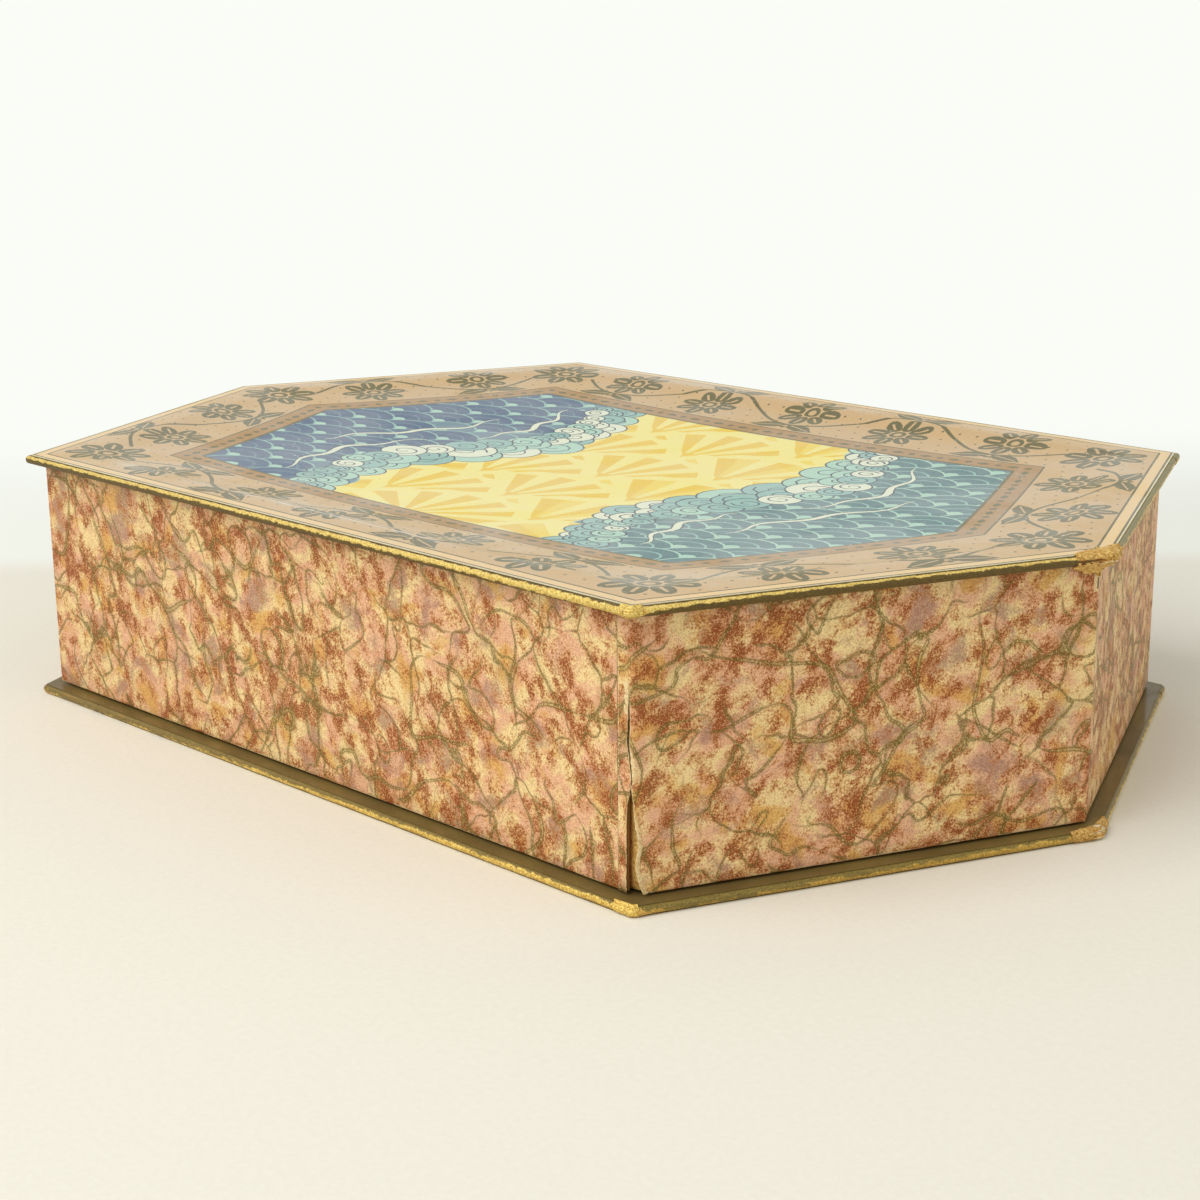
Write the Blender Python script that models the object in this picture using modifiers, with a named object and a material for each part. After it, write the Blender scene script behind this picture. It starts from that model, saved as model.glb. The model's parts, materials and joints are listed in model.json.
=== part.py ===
"""Six-sided chocolate box: a deep card lid that lifts straight off an inner tray.

Metres, +Z up. The box stands on z = 0 with its middle over the origin. Its long axis runs
along X, and the front is the long side that faces -Y. Sides and corners are counted
counterclockwise from above, starting with the front side and its left corner.
"""
import math

import bpy
from mathutils import Matrix, Vector

# Outline of the two boards, over their edging
LENGTH = 0.3390
WIDTH = 0.2248
LONG_SIDE = 0.2400
HEIGHT = 0.0715

# Board, paper and the gaps between them
BOARD = 0.0015
WALL_BOARD = 0.0024
PAPER = 0.0002
GLUE = 0.0001
SEAT_GAP = 0.0003
MITRE_GAP = 0.0003
CORNER_ROUND = 0.0004
ROUND_STEPS = 3

# Edging of the boards: how far it folds over them, and how much of it stays bare
EDGING_FOLD = 0.0060
LID_BARE_EDGE = 0.0014
BASE_BARE_EDGE = 0.0009

# Walls of the lid
OVERHANG = 0.0048
TURN_IN = 0.0120
LAP = 0.0030
LAP_TRIM = 0.0004

# Tray, and the way the lid rests on its rim and runs over it
RIM_GAP = 0.0006
LID_CLEARANCE = 0.0030
LIFT_CLEARANCE = 0.0100
FLOOR_MARGIN = 0.0004

# The lid's board has sunk inside the tray's rim: depth in the middle, and how full the dish is
LID_SAG = 0.0065
SAG_FULLNESS = 0.44
SAG_RINGS = 8
SAG_SPANS = 6
SAG_CENTRE = 0.10
SAG_CROWDING = 1.5

# Tape that stays the corners, from the corner to the end of a leg
STAY_LEG = 0.0120

SIDES = ("front", "front_right", "back_right", "back", "back_left", "front_left")
CORNERS = ("front_left", "front_right", "right_end", "back_right", "back_left", "left_end")
COUNT = len(SIDES)

# A sheet of paper with the glue behind it
LAYER = PAPER + GLUE

# Heights
BASE_BOARD_BOTTOM = 2 * LAYER
BASE_BOARD_TOP = BASE_BOARD_BOTTOM + BOARD
BASE_TOP = BASE_BOARD_TOP + 2 * LAYER
LID_BOARD_TOP = HEIGHT - 2 * LAYER
LID_BOARD_BOTTOM = LID_BOARD_TOP - BOARD
LID_CEILING = LID_BOARD_BOTTOM - 2 * LAYER
LID_RIM = BASE_TOP + RIM_GAP
WALL_BOTTOM = LID_RIM + LAYER
WALL_TOP = LID_CEILING - SEAT_GAP
TRAY_BOTTOM = BASE_TOP + SEAT_GAP
TRAY_TOP = LID_CEILING - SEAT_GAP - LAYER
TRAY_FLOOR = BASE_TOP + LAYER

# Insets of the upright faces from the outline
BOARD_EDGE = LAYER
WALL_FACE = OVERHANG + LAYER
WALL_BACK = WALL_FACE + WALL_BOARD
LID_INSIDE = WALL_BACK + 2 * LAYER
TRAY_FACE = LID_INSIDE + LID_CLEARANCE + LAYER
TRAY_BACK = TRAY_FACE + BOARD
TRAY_INSIDE = TRAY_BACK + 2 * LAYER

# How far the lid rises to clear the tray
LIFT = TRAY_TOP + LAYER - LID_RIM + LIFT_CLEARANCE


# Plan of the box

def outline_corners():
    """The six corners of the outline, counterclockwise from the front left one."""
    half_long, half_width, half_length = LONG_SIDE / 2, WIDTH / 2, LENGTH / 2
    return (Vector((-half_long, -half_width)), Vector((half_long, -half_width)),
            Vector((half_length, 0.0)), Vector((half_long, half_width)),
            Vector((-half_long, half_width)), Vector((-half_length, 0.0)))


def along(side):
    """The direction of a side, counterclockwise round the box."""
    corners = outline_corners()
    start, end = corners[side % COUNT], corners[(side + 1) % COUNT]
    return (end - start).normalized()


def meet(side_a, inset_a, side_b, inset_b):
    """Where two sides cross in plan, each moved inward by its inset."""
    corners = outline_corners()
    way_a, way_b = along(side_a), along(side_b)
    point_a = corners[side_a % COUNT] + inset_a * Vector((-way_a.y, way_a.x))
    point_b = corners[side_b % COUNT] + inset_b * Vector((-way_b.y, way_b.x))
    reach = (point_b - point_a).cross(way_b) / way_a.cross(way_b)
    return point_a + reach * way_a


def corner(number, inset):
    """A corner of the outline moved inward by the inset."""
    return meet(number - 1, inset, number, inset)


def ring(inset):
    return [corner(number, inset) for number in range(COUNT)]


def mitred(side, inset):
    """The two ends of a side at an inset, drawn back from the mitres by half their gap."""
    step = along(side) * (MITRE_GAP / 2)
    return corner(side, inset) + step, corner(side + 1, inset) - step


def raised(points, height):
    return [Vector((point.x, point.y, height)) for point in points]


def depth(point, side):
    """How far a point in plan lies inside a side of the outline."""
    way = along(side)
    return way.cross(point - outline_corners()[side])


def sag_share(point):
    """The share of the lid's sag at a point in plan: none over the tray's rim, one in the middle."""
    share = 1.0
    for side in range(COUNT):
        middle = depth(Vector((0.0, 0.0)), side) - TRAY_INSIDE
        share *= max(depth(point, side) - TRAY_INSIDE, 0.0) / middle
    return share ** SAG_FULLNESS


# Materials

def material(name, color, roughness, metallic=0.0):
    made = bpy.data.materials.new(name)
    made.use_nodes = True
    shader = made.node_tree.nodes["Principled BSDF"]
    shader.inputs["Base Color"].default_value = (*color, 1.0)
    shader.inputs["Roughness"].default_value = roughness
    shader.inputs["Metallic"].default_value = metallic
    made.diffuse_color = (*color, 1.0)
    return made


# Building the pieces

def start_scene():
    for thing in list(bpy.data.objects):
        bpy.data.objects.remove(thing, do_unlink=True)
    parts = bpy.data.collections.new("chocolate_box")
    bpy.context.scene.collection.children.link(parts)
    return parts


def body_empty(parts, name, height):
    """An empty on the lid's line of travel, which carries the pieces of one body."""
    empty = bpy.data.objects.new(name, None)
    empty.empty_display_size = 0.02
    empty.location.z = height
    parts.objects.link(empty)
    return empty


def add_piece(name, data, surface, carrier, location, turn=0.0):
    """Put a piece in the scene, carried by the empty of its body."""
    data.materials.append(surface)
    piece = bpy.data.objects.new(name, data)
    piece.parent = carrier
    piece.location = Vector(location) - carrier.location
    piece.rotation_euler.z = turn
    carrier.users_collection[0].objects.link(piece)
    return piece


def flat_outline(name, points, thickness):
    """A filled 2D curve, half its thickness above and half below its own plane."""
    outline = bpy.data.curves.new(name, "CURVE")
    outline.dimensions = "2D"
    outline.fill_mode = "BOTH"
    outline.extrude = thickness / 2
    line = outline.splines.new("POLY")
    line.points.add(len(points) - 1)
    for spot, point in zip(line.points, points):
        spot.co = (point.x, point.y, 0.0, 1.0)
    line.use_cyclic_u = True
    return outline


def cut_sheet(name, inset, bottom, top, surface, carrier):
    """A flat six-sided board or sheet."""
    outline = flat_outline(name, ring(inset), top - bottom)
    return add_piece(name, outline, surface, carrier, (0.0, 0.0, (bottom + top) / 2))


def spans(points):
    """The corners of a ring, with each side between them cut into equal spans."""
    cut = []
    for start, end in zip(points, points[1:] + points[:1]):
        cut += [start.lerp(end, step / SAG_SPANS) for step in range(SAG_SPANS)]
    return cut


def dished_sheet(name, inset, bottom, top, surface, carrier):
    """A six-sided board or sheet that has sunk inside the tray's rim.

    It is a flat sheet of rings that crowd toward the rim, thickened and then let down by a
    Displace modifier, whose weights follow the sag.
    """
    rim = spans(ring(TRAY_INSIDE))
    rings = [spans(ring(inset)), rim]
    for step in range(1, SAG_RINGS + 1):
        scale = 1.0 - (1.0 - SAG_CENTRE) * (step / SAG_RINGS) ** SAG_CROWDING
        rings.append([scale * point for point in rim])
    columns = len(rim)
    plan = [point for points in rings for point in points] + [Vector((0.0, 0.0))]
    faces = []
    for row in range(len(rings) - 1):
        for column in range(columns):
            after = (column + 1) % columns
            faces.append([row * columns + column, row * columns + after,
                          (row + 1) * columns + after, (row + 1) * columns + column])
    last = (len(rings) - 1) * columns
    for column in range(columns):
        faces.append([last + column, last + (column + 1) % columns, len(plan) - 1])
    mesh = bpy.data.meshes.new(name)
    mesh.from_pydata([(point.x, point.y, 0.0) for point in plan], [], faces)
    sheet = add_piece(name, mesh, surface, carrier, (0.0, 0.0, (bottom + top) / 2))
    sagging = sheet.vertex_groups.new(name="sag")
    for number, point in enumerate(plan):
        sagging.add([number], sag_share(point), "REPLACE")
    thicken = sheet.modifiers.new("thickness", "SOLIDIFY")
    thicken.thickness = top - bottom
    thicken.offset = 0.0
    return sheet


def let_sag(sheet):
    """Let a dished sheet down, as the last of its modifiers."""
    sag = sheet.modifiers.new("sag", "DISPLACE")
    sag.direction = "Z"
    sag.mid_level = 0.0
    sag.strength = -LID_SAG
    sag.vertex_group = "sag"


def soften_edges(board):
    """Round the edges of a board, as handling and the edging's pull round them."""
    weld = board.modifiers.new("weld", "WELD")
    weld.merge_threshold = 0.00001
    bevel = board.modifiers.new("round", "BEVEL")
    bevel.width = CORNER_ROUND
    bevel.segments = ROUND_STEPS
    bevel.limit_method = "ANGLE"
    bevel.angle_limit = math.radians(30)


def wall_board(name, side, face, back, bottom, top, surface, carrier):
    """One upright board with mitred ends, set on the middle of its side."""
    start, end = mitred(side, face)
    middle = (start + end) / 2
    turn = math.atan2(along(side).y, along(side).x)
    back_start, back_end = mitred(side, back)
    unturn = Matrix.Rotation(-turn, 2)
    points = [unturn @ (point - middle) for point in (start, end, back_end, back_start)]
    outline = flat_outline(name, points, top - bottom)
    location = (middle.x, middle.y, (bottom + top) / 2)
    return add_piece(name, outline, surface, carrier, location, turn)


def folded_sheet(name, rows, surface, carrier, closed=False):
    """Paper folded along rows of points that run counterclockwise round the box.

    The paper thickens away from what it covers. A row may be shorter than the one before it,
    with None where the sheet has been trimmed away.
    """
    origin = Vector((0.0, 0.0, carrier.location.z))
    spots, index = [], {}
    for row, points in enumerate(rows):
        for column, point in enumerate(points):
            if point is not None:
                index[row, column] = len(spots)
                spots.append(point - origin)
    columns = len(rows[0])
    faces = []
    for row in range(len(rows) - 1):
        for column in range(columns if closed else columns - 1):
            after = (column + 1) % columns
            quad = ((row, column), (row + 1, column), (row + 1, after), (row, after))
            if all(spot in index for spot in quad):
                faces.append([index[spot] for spot in quad])
    mesh = bpy.data.meshes.new(name)
    mesh.from_pydata(spots, [], faces)
    piece = add_piece(name, mesh, surface, carrier, origin)
    thicken = piece.modifiers.new("paper", "SOLIDIFY")
    thicken.thickness = PAPER
    thicken.offset = 1.0
    thicken.use_even_offset = True
    return piece


def edging(name, side, board_bottom, board_top, surface, carrier):
    """A strip folded round a board's edge, along one side."""
    radius = CORNER_ROUND + GLUE
    centre = BOARD_EDGE + CORNER_ROUND
    path = [(EDGING_FOLD, board_top + GLUE)]
    for step in range(ROUND_STEPS + 1):
        angle = math.radians(90) * step / ROUND_STEPS
        path.append((centre - radius * math.sin(angle),
                     board_top - CORNER_ROUND + radius * math.cos(angle)))
    for step in range(ROUND_STEPS + 1):
        angle = math.radians(90) * step / ROUND_STEPS
        path.append((centre - radius * math.cos(angle),
                     board_bottom + CORNER_ROUND - radius * math.sin(angle)))
    path.append((EDGING_FOLD, board_bottom - GLUE))
    rows = [raised(mitred(side, inset), height) for inset, height in path]
    return folded_sheet(name, rows, surface, carrier)


def wall_paper(name, side, laps_start, laps_end, surface, carrier):
    """The fancy paper of one wall, turned in under its rim.

    A sheet that laps a corner runs on over the next wall's sheet. Any other sheet is trimmed
    just short of the next wall's face.
    """
    face = WALL_FACE - GLUE
    over = face - LAYER
    short = WALL_FACE + LAP_TRIM
    inner = WALL_BACK + LAYER + GLUE
    under = WALL_BOTTOM - GLUE
    inner_start, inner_end = mitred(side, inner)
    start = meet(side, face, side - 1, over if laps_start else short)
    end = meet(side, face, side + 1, over if laps_end else short)
    outer, inner_row = [start, end], [inner_start, inner_end]
    flap_start = [start - LAP * along(side - 1)] if laps_start else []
    flap_end = [end + LAP * along(side + 1)] if laps_end else []
    blank_start, blank_end = [None] * len(flap_start), [None] * len(flap_end)
    upper = raised(flap_start + outer + flap_end, WALL_TOP)
    lower = (raised(flap_start, under + LAP_TRIM) + raised(outer, under)
             + raised(flap_end, under + LAP_TRIM))
    turned = blank_start + raised(inner_row, under) + blank_end
    tucked = blank_start + raised(inner_row, under + TURN_IN) + blank_end
    return folded_sheet(name, [upper, lower, turned, tucked], surface, carrier)


def corner_stay(name, number, back, bottom, top, surface, carrier):
    """Tape folded into an inside corner, where it ties two boards together."""
    bend = corner(number, back + GLUE)
    legs = [bend - STAY_LEG * along(number - 1), bend, bend + STAY_LEG * along(number)]
    return folded_sheet(name, [raised(legs, bottom), raised(legs, top)], surface, carrier)


def tray_cover(surface, carrier):
    """Lining folded over the tray's rim and down both faces of its walls, all the way round."""
    outside = TRAY_FACE - GLUE
    inside = TRAY_BACK + LAYER + GLUE
    rim = TRAY_TOP + GLUE
    rows = [raised(ring(inside), TRAY_FLOOR + GLUE), raised(ring(inside), rim),
            raised(ring(outside), rim), raised(ring(outside), TRAY_BOTTOM)]
    return folded_sheet("tray_cover", rows, surface, carrier, closed=True)


def lid_lining(surface, carrier):
    """Lining round the inside of the lid, from the turned-in paper up to its ceiling."""
    inside = WALL_BACK + LAYER + GLUE
    low = WALL_BOTTOM + TURN_IN + GLUE
    rows = [raised(ring(inside), low), raised(ring(inside), WALL_TOP)]
    return folded_sheet("lid_lining", rows, surface, carrier, closed=True)


def build_base(parts, board, tape, gilt, olive, lining):
    base = body_empty(parts, "base", 0.0)
    cut_sheet("base_underside_paper", BASE_BARE_EDGE, 0.0, PAPER, olive, base)
    soften_edges(cut_sheet("base_board", BOARD_EDGE, BASE_BOARD_BOTTOM, BASE_BOARD_TOP,
                           board, base))
    cut_sheet("base_top_paper", BASE_BARE_EDGE, BASE_TOP - PAPER, BASE_TOP, olive, base)
    cut_sheet("tray_floor_paper", TRAY_INSIDE + FLOOR_MARGIN, TRAY_FLOOR - PAPER, TRAY_FLOOR,
              lining, base)
    for side, where in enumerate(SIDES):
        edging(f"base_edging_{where}", side, BASE_BOARD_BOTTOM, BASE_BOARD_TOP, gilt, base)
        wall_board(f"tray_wall_{where}", side, TRAY_FACE, TRAY_BACK, TRAY_BOTTOM, TRAY_TOP,
                   board, base)
    for number, where in enumerate(CORNERS):
        corner_stay(f"tray_stay_{where}", number, TRAY_BACK, TRAY_FLOOR + GLUE, TRAY_TOP,
                    tape, base)
    tray_cover(lining, base)


def build_lid(parts, board, tape, gilt, olive, lining, fancy, printed):
    lid = body_empty(parts, "lid", LID_RIM)
    let_sag(dished_sheet("lid_print", LID_BARE_EDGE, HEIGHT - PAPER, HEIGHT, printed, lid))
    top_board = dished_sheet("lid_board", BOARD_EDGE, LID_BOARD_BOTTOM, LID_BOARD_TOP, board, lid)
    soften_edges(top_board)
    let_sag(top_board)
    let_sag(dished_sheet("lid_underside_paper", LID_BARE_EDGE, LID_CEILING, LID_CEILING + PAPER,
                         olive, lid))
    for side, where in enumerate(SIDES):
        edging(f"lid_edging_{where}", side, LID_BOARD_BOTTOM, LID_BOARD_TOP, gilt, lid)
        wall_board(f"lid_wall_{where}", side, WALL_FACE, WALL_BACK, WALL_BOTTOM, WALL_TOP,
                   board, lid)
        laps_start = where in ("front_right", "front_left", "back_left")
        laps_end = where in ("front_right", "front_left", "back_right")
        wall_paper(f"wall_paper_{where}", side, laps_start, laps_end, fancy, lid)
    for number, where in enumerate(CORNERS):
        corner_stay(f"lid_stay_{where}", number, WALL_BACK, WALL_BOTTOM, WALL_TOP, tape, lid)
    lid_lining(lining, lid)


def main():
    parts = start_scene()
    board = material("straw_board", (0.43, 0.28, 0.12), 0.9)
    tape = material("gummed_tape", (0.40, 0.24, 0.09), 0.75)
    gilt = material("gilt_paper", (0.55, 0.37, 0.08), 0.42, 0.6)
    olive = material("olive_paper", (0.12, 0.09, 0.04), 0.5)
    lining = material("lining_paper", (0.78, 0.74, 0.64), 0.6)
    fancy = material("marbled_paper", (0.62, 0.34, 0.19), 0.6)
    printed = material("printed_paper", (0.50, 0.36, 0.26), 0.45)
    build_base(parts, board, tape, gilt, olive, lining)
    build_lid(parts, board, tape, gilt, olive, lining, fancy, printed)
    print(f"lid lifts by {LIFT:.4f} m to clear the tray")


main()
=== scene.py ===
# %% [markdown]
# # A paper-covered chocolate box
# The imported model is the fixed frame. It knows the true size of every board and sheet, so the
# looks are built round it and never move it.

# %% Load the frame
import json
import math
import random

import bpy
import numpy as np
from mathutils import Matrix, Vector, noise
from mathutils.bvhtree import BVHTree
from mathutils.geometry import delaunay_2d_cdt


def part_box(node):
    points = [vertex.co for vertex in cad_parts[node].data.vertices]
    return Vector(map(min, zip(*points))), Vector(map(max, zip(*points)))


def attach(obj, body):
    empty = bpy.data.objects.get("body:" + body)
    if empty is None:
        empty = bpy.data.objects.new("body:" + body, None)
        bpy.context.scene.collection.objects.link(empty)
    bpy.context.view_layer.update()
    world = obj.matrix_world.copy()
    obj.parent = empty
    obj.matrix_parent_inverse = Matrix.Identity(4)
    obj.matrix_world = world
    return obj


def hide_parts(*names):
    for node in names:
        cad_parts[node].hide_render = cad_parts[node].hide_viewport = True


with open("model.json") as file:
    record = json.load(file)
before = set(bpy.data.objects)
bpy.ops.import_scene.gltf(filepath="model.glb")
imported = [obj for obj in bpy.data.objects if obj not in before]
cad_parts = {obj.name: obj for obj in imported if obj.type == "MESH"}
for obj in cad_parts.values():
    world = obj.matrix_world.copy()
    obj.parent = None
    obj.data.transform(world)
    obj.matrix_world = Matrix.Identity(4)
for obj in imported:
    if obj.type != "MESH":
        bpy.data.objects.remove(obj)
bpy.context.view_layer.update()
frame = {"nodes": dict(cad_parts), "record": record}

nodes = frame["nodes"]

# %% [markdown]
# The box is drawn in millimetres, as a box maker would, and turned into metres only when a mesh
# is made. Its outline is a long hexagon. Sides and corners are counted counterclockwise from
# above, starting with the long front side, and "inset" is how far a line lies inside the outline.

# %% The plan of the box, in millimetres
MM = 0.001
PAPER, THICK_PAPER = 0.2, 0.15      # a sheet, and a torn or gummed one
SIDES = ("front", "front_right", "back_right", "back", "back_left", "front_left")
HALF_SIDE, HALF_WIDTH, HALF_LENGTH = 120.0, 112.4, 169.5
OUTLINE = [Vector(p) for p in ((-HALF_SIDE, -HALF_WIDTH), (HALF_SIDE, -HALF_WIDTH),
                               (HALF_LENGTH, 0.0), (HALF_SIDE, HALF_WIDTH),
                               (-HALF_SIDE, HALF_WIDTH), (-HALF_LENGTH, 0.0))]


def along(side):
    return (OUTLINE[(side + 1) % 6] - OUTLINE[side % 6]).normalized()


def inward(side):
    way = along(side)
    return Vector((-way.y, way.x))


def meet(side_a, inset_a, side_b, inset_b):
    """Where two sides cross in plan, each moved inward by its inset."""
    way_a, way_b = along(side_a), along(side_b)
    point_a = OUTLINE[side_a % 6] + inset_a * inward(side_a)
    point_b = OUTLINE[side_b % 6] + inset_b * inward(side_b)
    return point_a + (point_b - point_a).cross(way_b) / way_a.cross(way_b) * way_a


def corner(number, inset):
    return meet(number - 1, inset, number, inset)


def depth(point, side):
    """How far a point in plan lies inside one side of the outline."""
    return along(side).cross(point - OUTLINE[side])


lid_top, lid_bottom = (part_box(f"lid_edging_{SIDES[0]}")[i].z / MM for i in (1, 0))
base_top, base_bottom = (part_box(f"base_edging_{SIDES[0]}")[i].z / MM for i in (1, 0))
print(f"lid edge {lid_bottom:.1f} to {lid_top:.1f} mm")
print(f"base edge {base_bottom:.1f} to {base_top:.1f} mm")

# %% [markdown]
# The camera stands where the photographer stood: a little above the box, off its front right
# corner. Its bearing, distance and lens come from fitting the box's corners to their places in
# the picture. Made first, it shows each later step from the right side.

# %% Camera
azimuth, elevation, roll = map(math.radians, (44.648, 15.328, -0.449))
distance, aside, higher = 0.64354, -0.00014, 0.02728     # metres
LENS_MM, SENSOR_MM = 65.863, 36.0
back_way = Vector((math.sin(azimuth) * math.cos(elevation),
                   -math.cos(azimuth) * math.cos(elevation), math.sin(elevation)))
right_way = Vector((math.cos(azimuth), math.sin(azimuth), 0.0))
up_way = back_way.cross(right_way)
right_way, up_way = (math.cos(roll) * right_way + math.sin(roll) * up_way,
                     math.cos(roll) * up_way - math.sin(roll) * right_way)
camera = bpy.data.objects.new("camera", bpy.data.cameras.new("camera"))
camera.data.sensor_width = SENSOR_MM
camera.data.lens = LENS_MM
camera.data.clip_start = 0.01
camera.matrix_world = (Matrix.Translation(back_way * distance + right_way * aside + up_way * higher)
                       @ Matrix((right_way, up_way, back_way)).transposed().to_4x4())
bpy.context.scene.collection.objects.link(camera)
bpy.context.scene.camera = camera
print("camera at", [round(v, 3) for v in camera.location])

# %% [markdown]
# A finish is a small net of nodes that ends in one Principled shader. This helper keeps such nets
# short to write: each method adds a node and hands back its socket, so that finishes read like
# recipes. Lengths in a recipe are millimetres, measured in the piece's own coordinates.


# %% A helper for finishes
def shade(code):
    """A colour from its usual six-figure code, as the linear values that nodes take."""
    parts = [int(code[i:i + 2], 16) / 255 for i in (1, 3, 5)]
    linear = [c / 12.92 if c <= 0.04045 else ((c + 0.055) / 1.055) ** 2.4 for c in parts]
    return (*linear, 1.0)


class Finish:
    def __init__(self, name, roughness=0.6, metallic=0.0, specular=0.5):
        self.material = bpy.data.materials.new(name)
        self.material.use_nodes = True
        self.tree = self.material.node_tree
        self.shader = self.tree.nodes["Principled BSDF"]
        for key, value in (("Roughness", roughness), ("Metallic", metallic),
                           ("Specular IOR Level", specular)):
            self.shader.inputs[key].default_value = value
        place = self.add("ShaderNodeTexCoord", {}, out="Object")
        self.mm = self.add("ShaderNodeVectorMath", {0: place, "Scale": 1 / MM}, operation="SCALE")

    def add(self, kind, inputs, out=0, **settings):
        node = self.tree.nodes.new(kind)
        for key, value in settings.items():
            setattr(node, key, value)
        for key, value in inputs.items():
            if isinstance(value, bpy.types.NodeSocket):
                self.tree.links.new(value, node.inputs[key])
            else:
                node.inputs[key].default_value = value
        return node.outputs[out]

    def math(self, operation, a, b=0.0):
        return self.add("ShaderNodeMath", {0: a, 1: b}, operation=operation)

    def plus(self, value, other, times):
        """A value and so many times another."""
        return self.add("ShaderNodeMath", {0: other, 1: times, 2: value}, operation="MULTIPLY_ADD")

    def attribute(self, name):
        return self.add("ShaderNodeAttribute", {}, out="Fac", attribute_name=name)

    def axis(self, which):
        return self.add("ShaderNodeSeparateXYZ", {0: self.mm}, out=which)

    def noise(self, size, detail=2.0, rough=0.5, twist=0.0, place=None, out="Fac"):
        return self.add("ShaderNodeTexNoise",
                        {"Vector": place or self.mm, "Scale": 1 / size, "Detail": detail,
                         "Roughness": rough, "Distortion": twist}, out=out)

    def shift(self, place, by):
        """Another part of the same pattern."""
        return self.add("ShaderNodeVectorMath", {0: place, 1: by}, operation="ADD")

    def stretch(self, times, turn=(0.0, 0.0, 0.0), place=None):
        """A pattern drawn out so many times along each axis, the axes turned first."""
        return self.add("ShaderNodeMapping", {"Vector": place or self.mm, "Rotation": turn,
                                              "Scale": times}, vector_type="TEXTURE")

    def warp(self, size, by, place=None, detail=1.0):
        """A place pushed about by noise, so that lines and patches wander."""
        push = self.noise(size, detail, place=place, out="Color")
        centred = self.add("ShaderNodeVectorMath", {0: push, 1: (0.5, 0.5, 0.5)},
                           operation="SUBTRACT")
        pushed = self.add("ShaderNodeVectorMath", {0: centred, "Scale": by}, operation="SCALE")
        return self.add("ShaderNodeVectorMath", {0: place or self.mm, 1: pushed}, operation="ADD")

    def cracks(self, size, place=None):
        """The distance in millimetres to the nearest line of a net of cells."""
        edge = self.add("ShaderNodeTexVoronoi", {"Vector": place or self.mm, "Scale": 1 / size},
                        out="Distance", feature="DISTANCE_TO_EDGE")
        return self.math("MULTIPLY", edge, size)

    def step(self, value, low, high, top=1.0):
        """0 below low, top above high, and a soft step between. High may lie below low."""
        return self.add("ShaderNodeMapRange", {"Value": value, "From Min": low, "From Max": high,
                                               "To Max": top}, interpolation_type="SMOOTHSTEP")

    def mix(self, share, a, b):
        return self.add("ShaderNodeMix", {0: share, 6: a, 7: b}, out=2, data_type="RGBA")

    def done(self, colour, height, depth_mm, roughness=None):
        """Link the recipe's last sockets to the shader. The height makes a bump so deep."""
        self.tree.links.new(colour, self.shader.inputs["Base Color"])
        if roughness is not None:
            self.tree.links.new(roughness, self.shader.inputs["Roughness"])
        bump = self.add("ShaderNodeBump", {"Strength": 1.0, "Distance": depth_mm * MM,
                                           "Height": height}, out="Normal")
        self.tree.links.new(bump, self.shader.inputs["Normal"])
        return self.material


print("finish helper ready")

# %% [markdown]
# The scene stays plain: a pale cloth-coloured floor, a pale backdrop, and broad soft light from
# the front left, a little like window light. The floor pales just behind the box, where the
# table ends, and turns into the backdrop further on. Only the camera, glossy and clear rays see
# the backdrop's full paleness, so that it never adds light to the box.

# %% Floor, backdrop and lamps
def pale_rays(tree):
    path = tree.nodes.new("ShaderNodeLightPath")
    share = path.outputs["Is Camera Ray"]
    for kind in ("Is Glossy Ray", "Is Transmission Ray"):
        joined = tree.nodes.new("ShaderNodeMath")
        joined.operation = "MAXIMUM"
        tree.links.new(share, joined.inputs[0])
        tree.links.new(path.outputs[kind], joined.inputs[1])
        share = joined.outputs[0]
    return share


BACKDROP, CLOTH, CLOTH_SHADE = shade("#fafdf7"), shade("#f3f1e6"), shade("#e8e4d6")
TABLE_END, BACKDROP_START = (142.0, 172.0), (190.0, 420.0)   # mm behind the box's middle
FLOOR_REACH = 6.0                                            # metres
floor_finish = Finish("pale_cloth", roughness=0.9, specular=0.2)
far = floor_finish.add("ShaderNodeVectorMath", {0: floor_finish.mm,
                                                1: tuple(-back_way.xy.normalized()) + (0.0,)},
                       out="Value", operation="DOT_PRODUCT")
turning = floor_finish.step(far, *TABLE_END)
beyond = floor_finish.step(far, *BACKDROP_START)
mottle = floor_finish.step(floor_finish.noise(1.6, 3.0), 0.3, 0.7, 0.25)
cloth = floor_finish.mix(mottle, CLOTH, CLOTH_SHADE)
cloth = floor_finish.mix(turning, cloth, BACKDROP)
floor_finish.done(cloth, floor_finish.noise(1.1, 2.0), 0.05)
glow = floor_finish.add("ShaderNodeEmission", {"Color": BACKDROP, "Strength": 1.0})
seen = floor_finish.math("MULTIPLY", beyond, pale_rays(floor_finish.tree))
both = floor_finish.add("ShaderNodeMixShader",
                        {0: seen, 1: floor_finish.shader.outputs[0], 2: glow})
floor_finish.tree.links.new(both, floor_finish.tree.nodes["Material Output"].inputs["Surface"])

floor_mesh = bpy.data.meshes.new("floor")
floor_mesh.from_pydata([(x * FLOOR_REACH, y * FLOOR_REACH, 0.0)
                        for x, y in ((-1, -1), (1, -1), (1, 1), (-1, 1))], [], [(0, 1, 2, 3)])
floor_mesh.materials.append(floor_finish.material)
floor = bpy.data.objects.new("floor", floor_mesh)
bpy.context.scene.collection.objects.link(floor)

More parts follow.
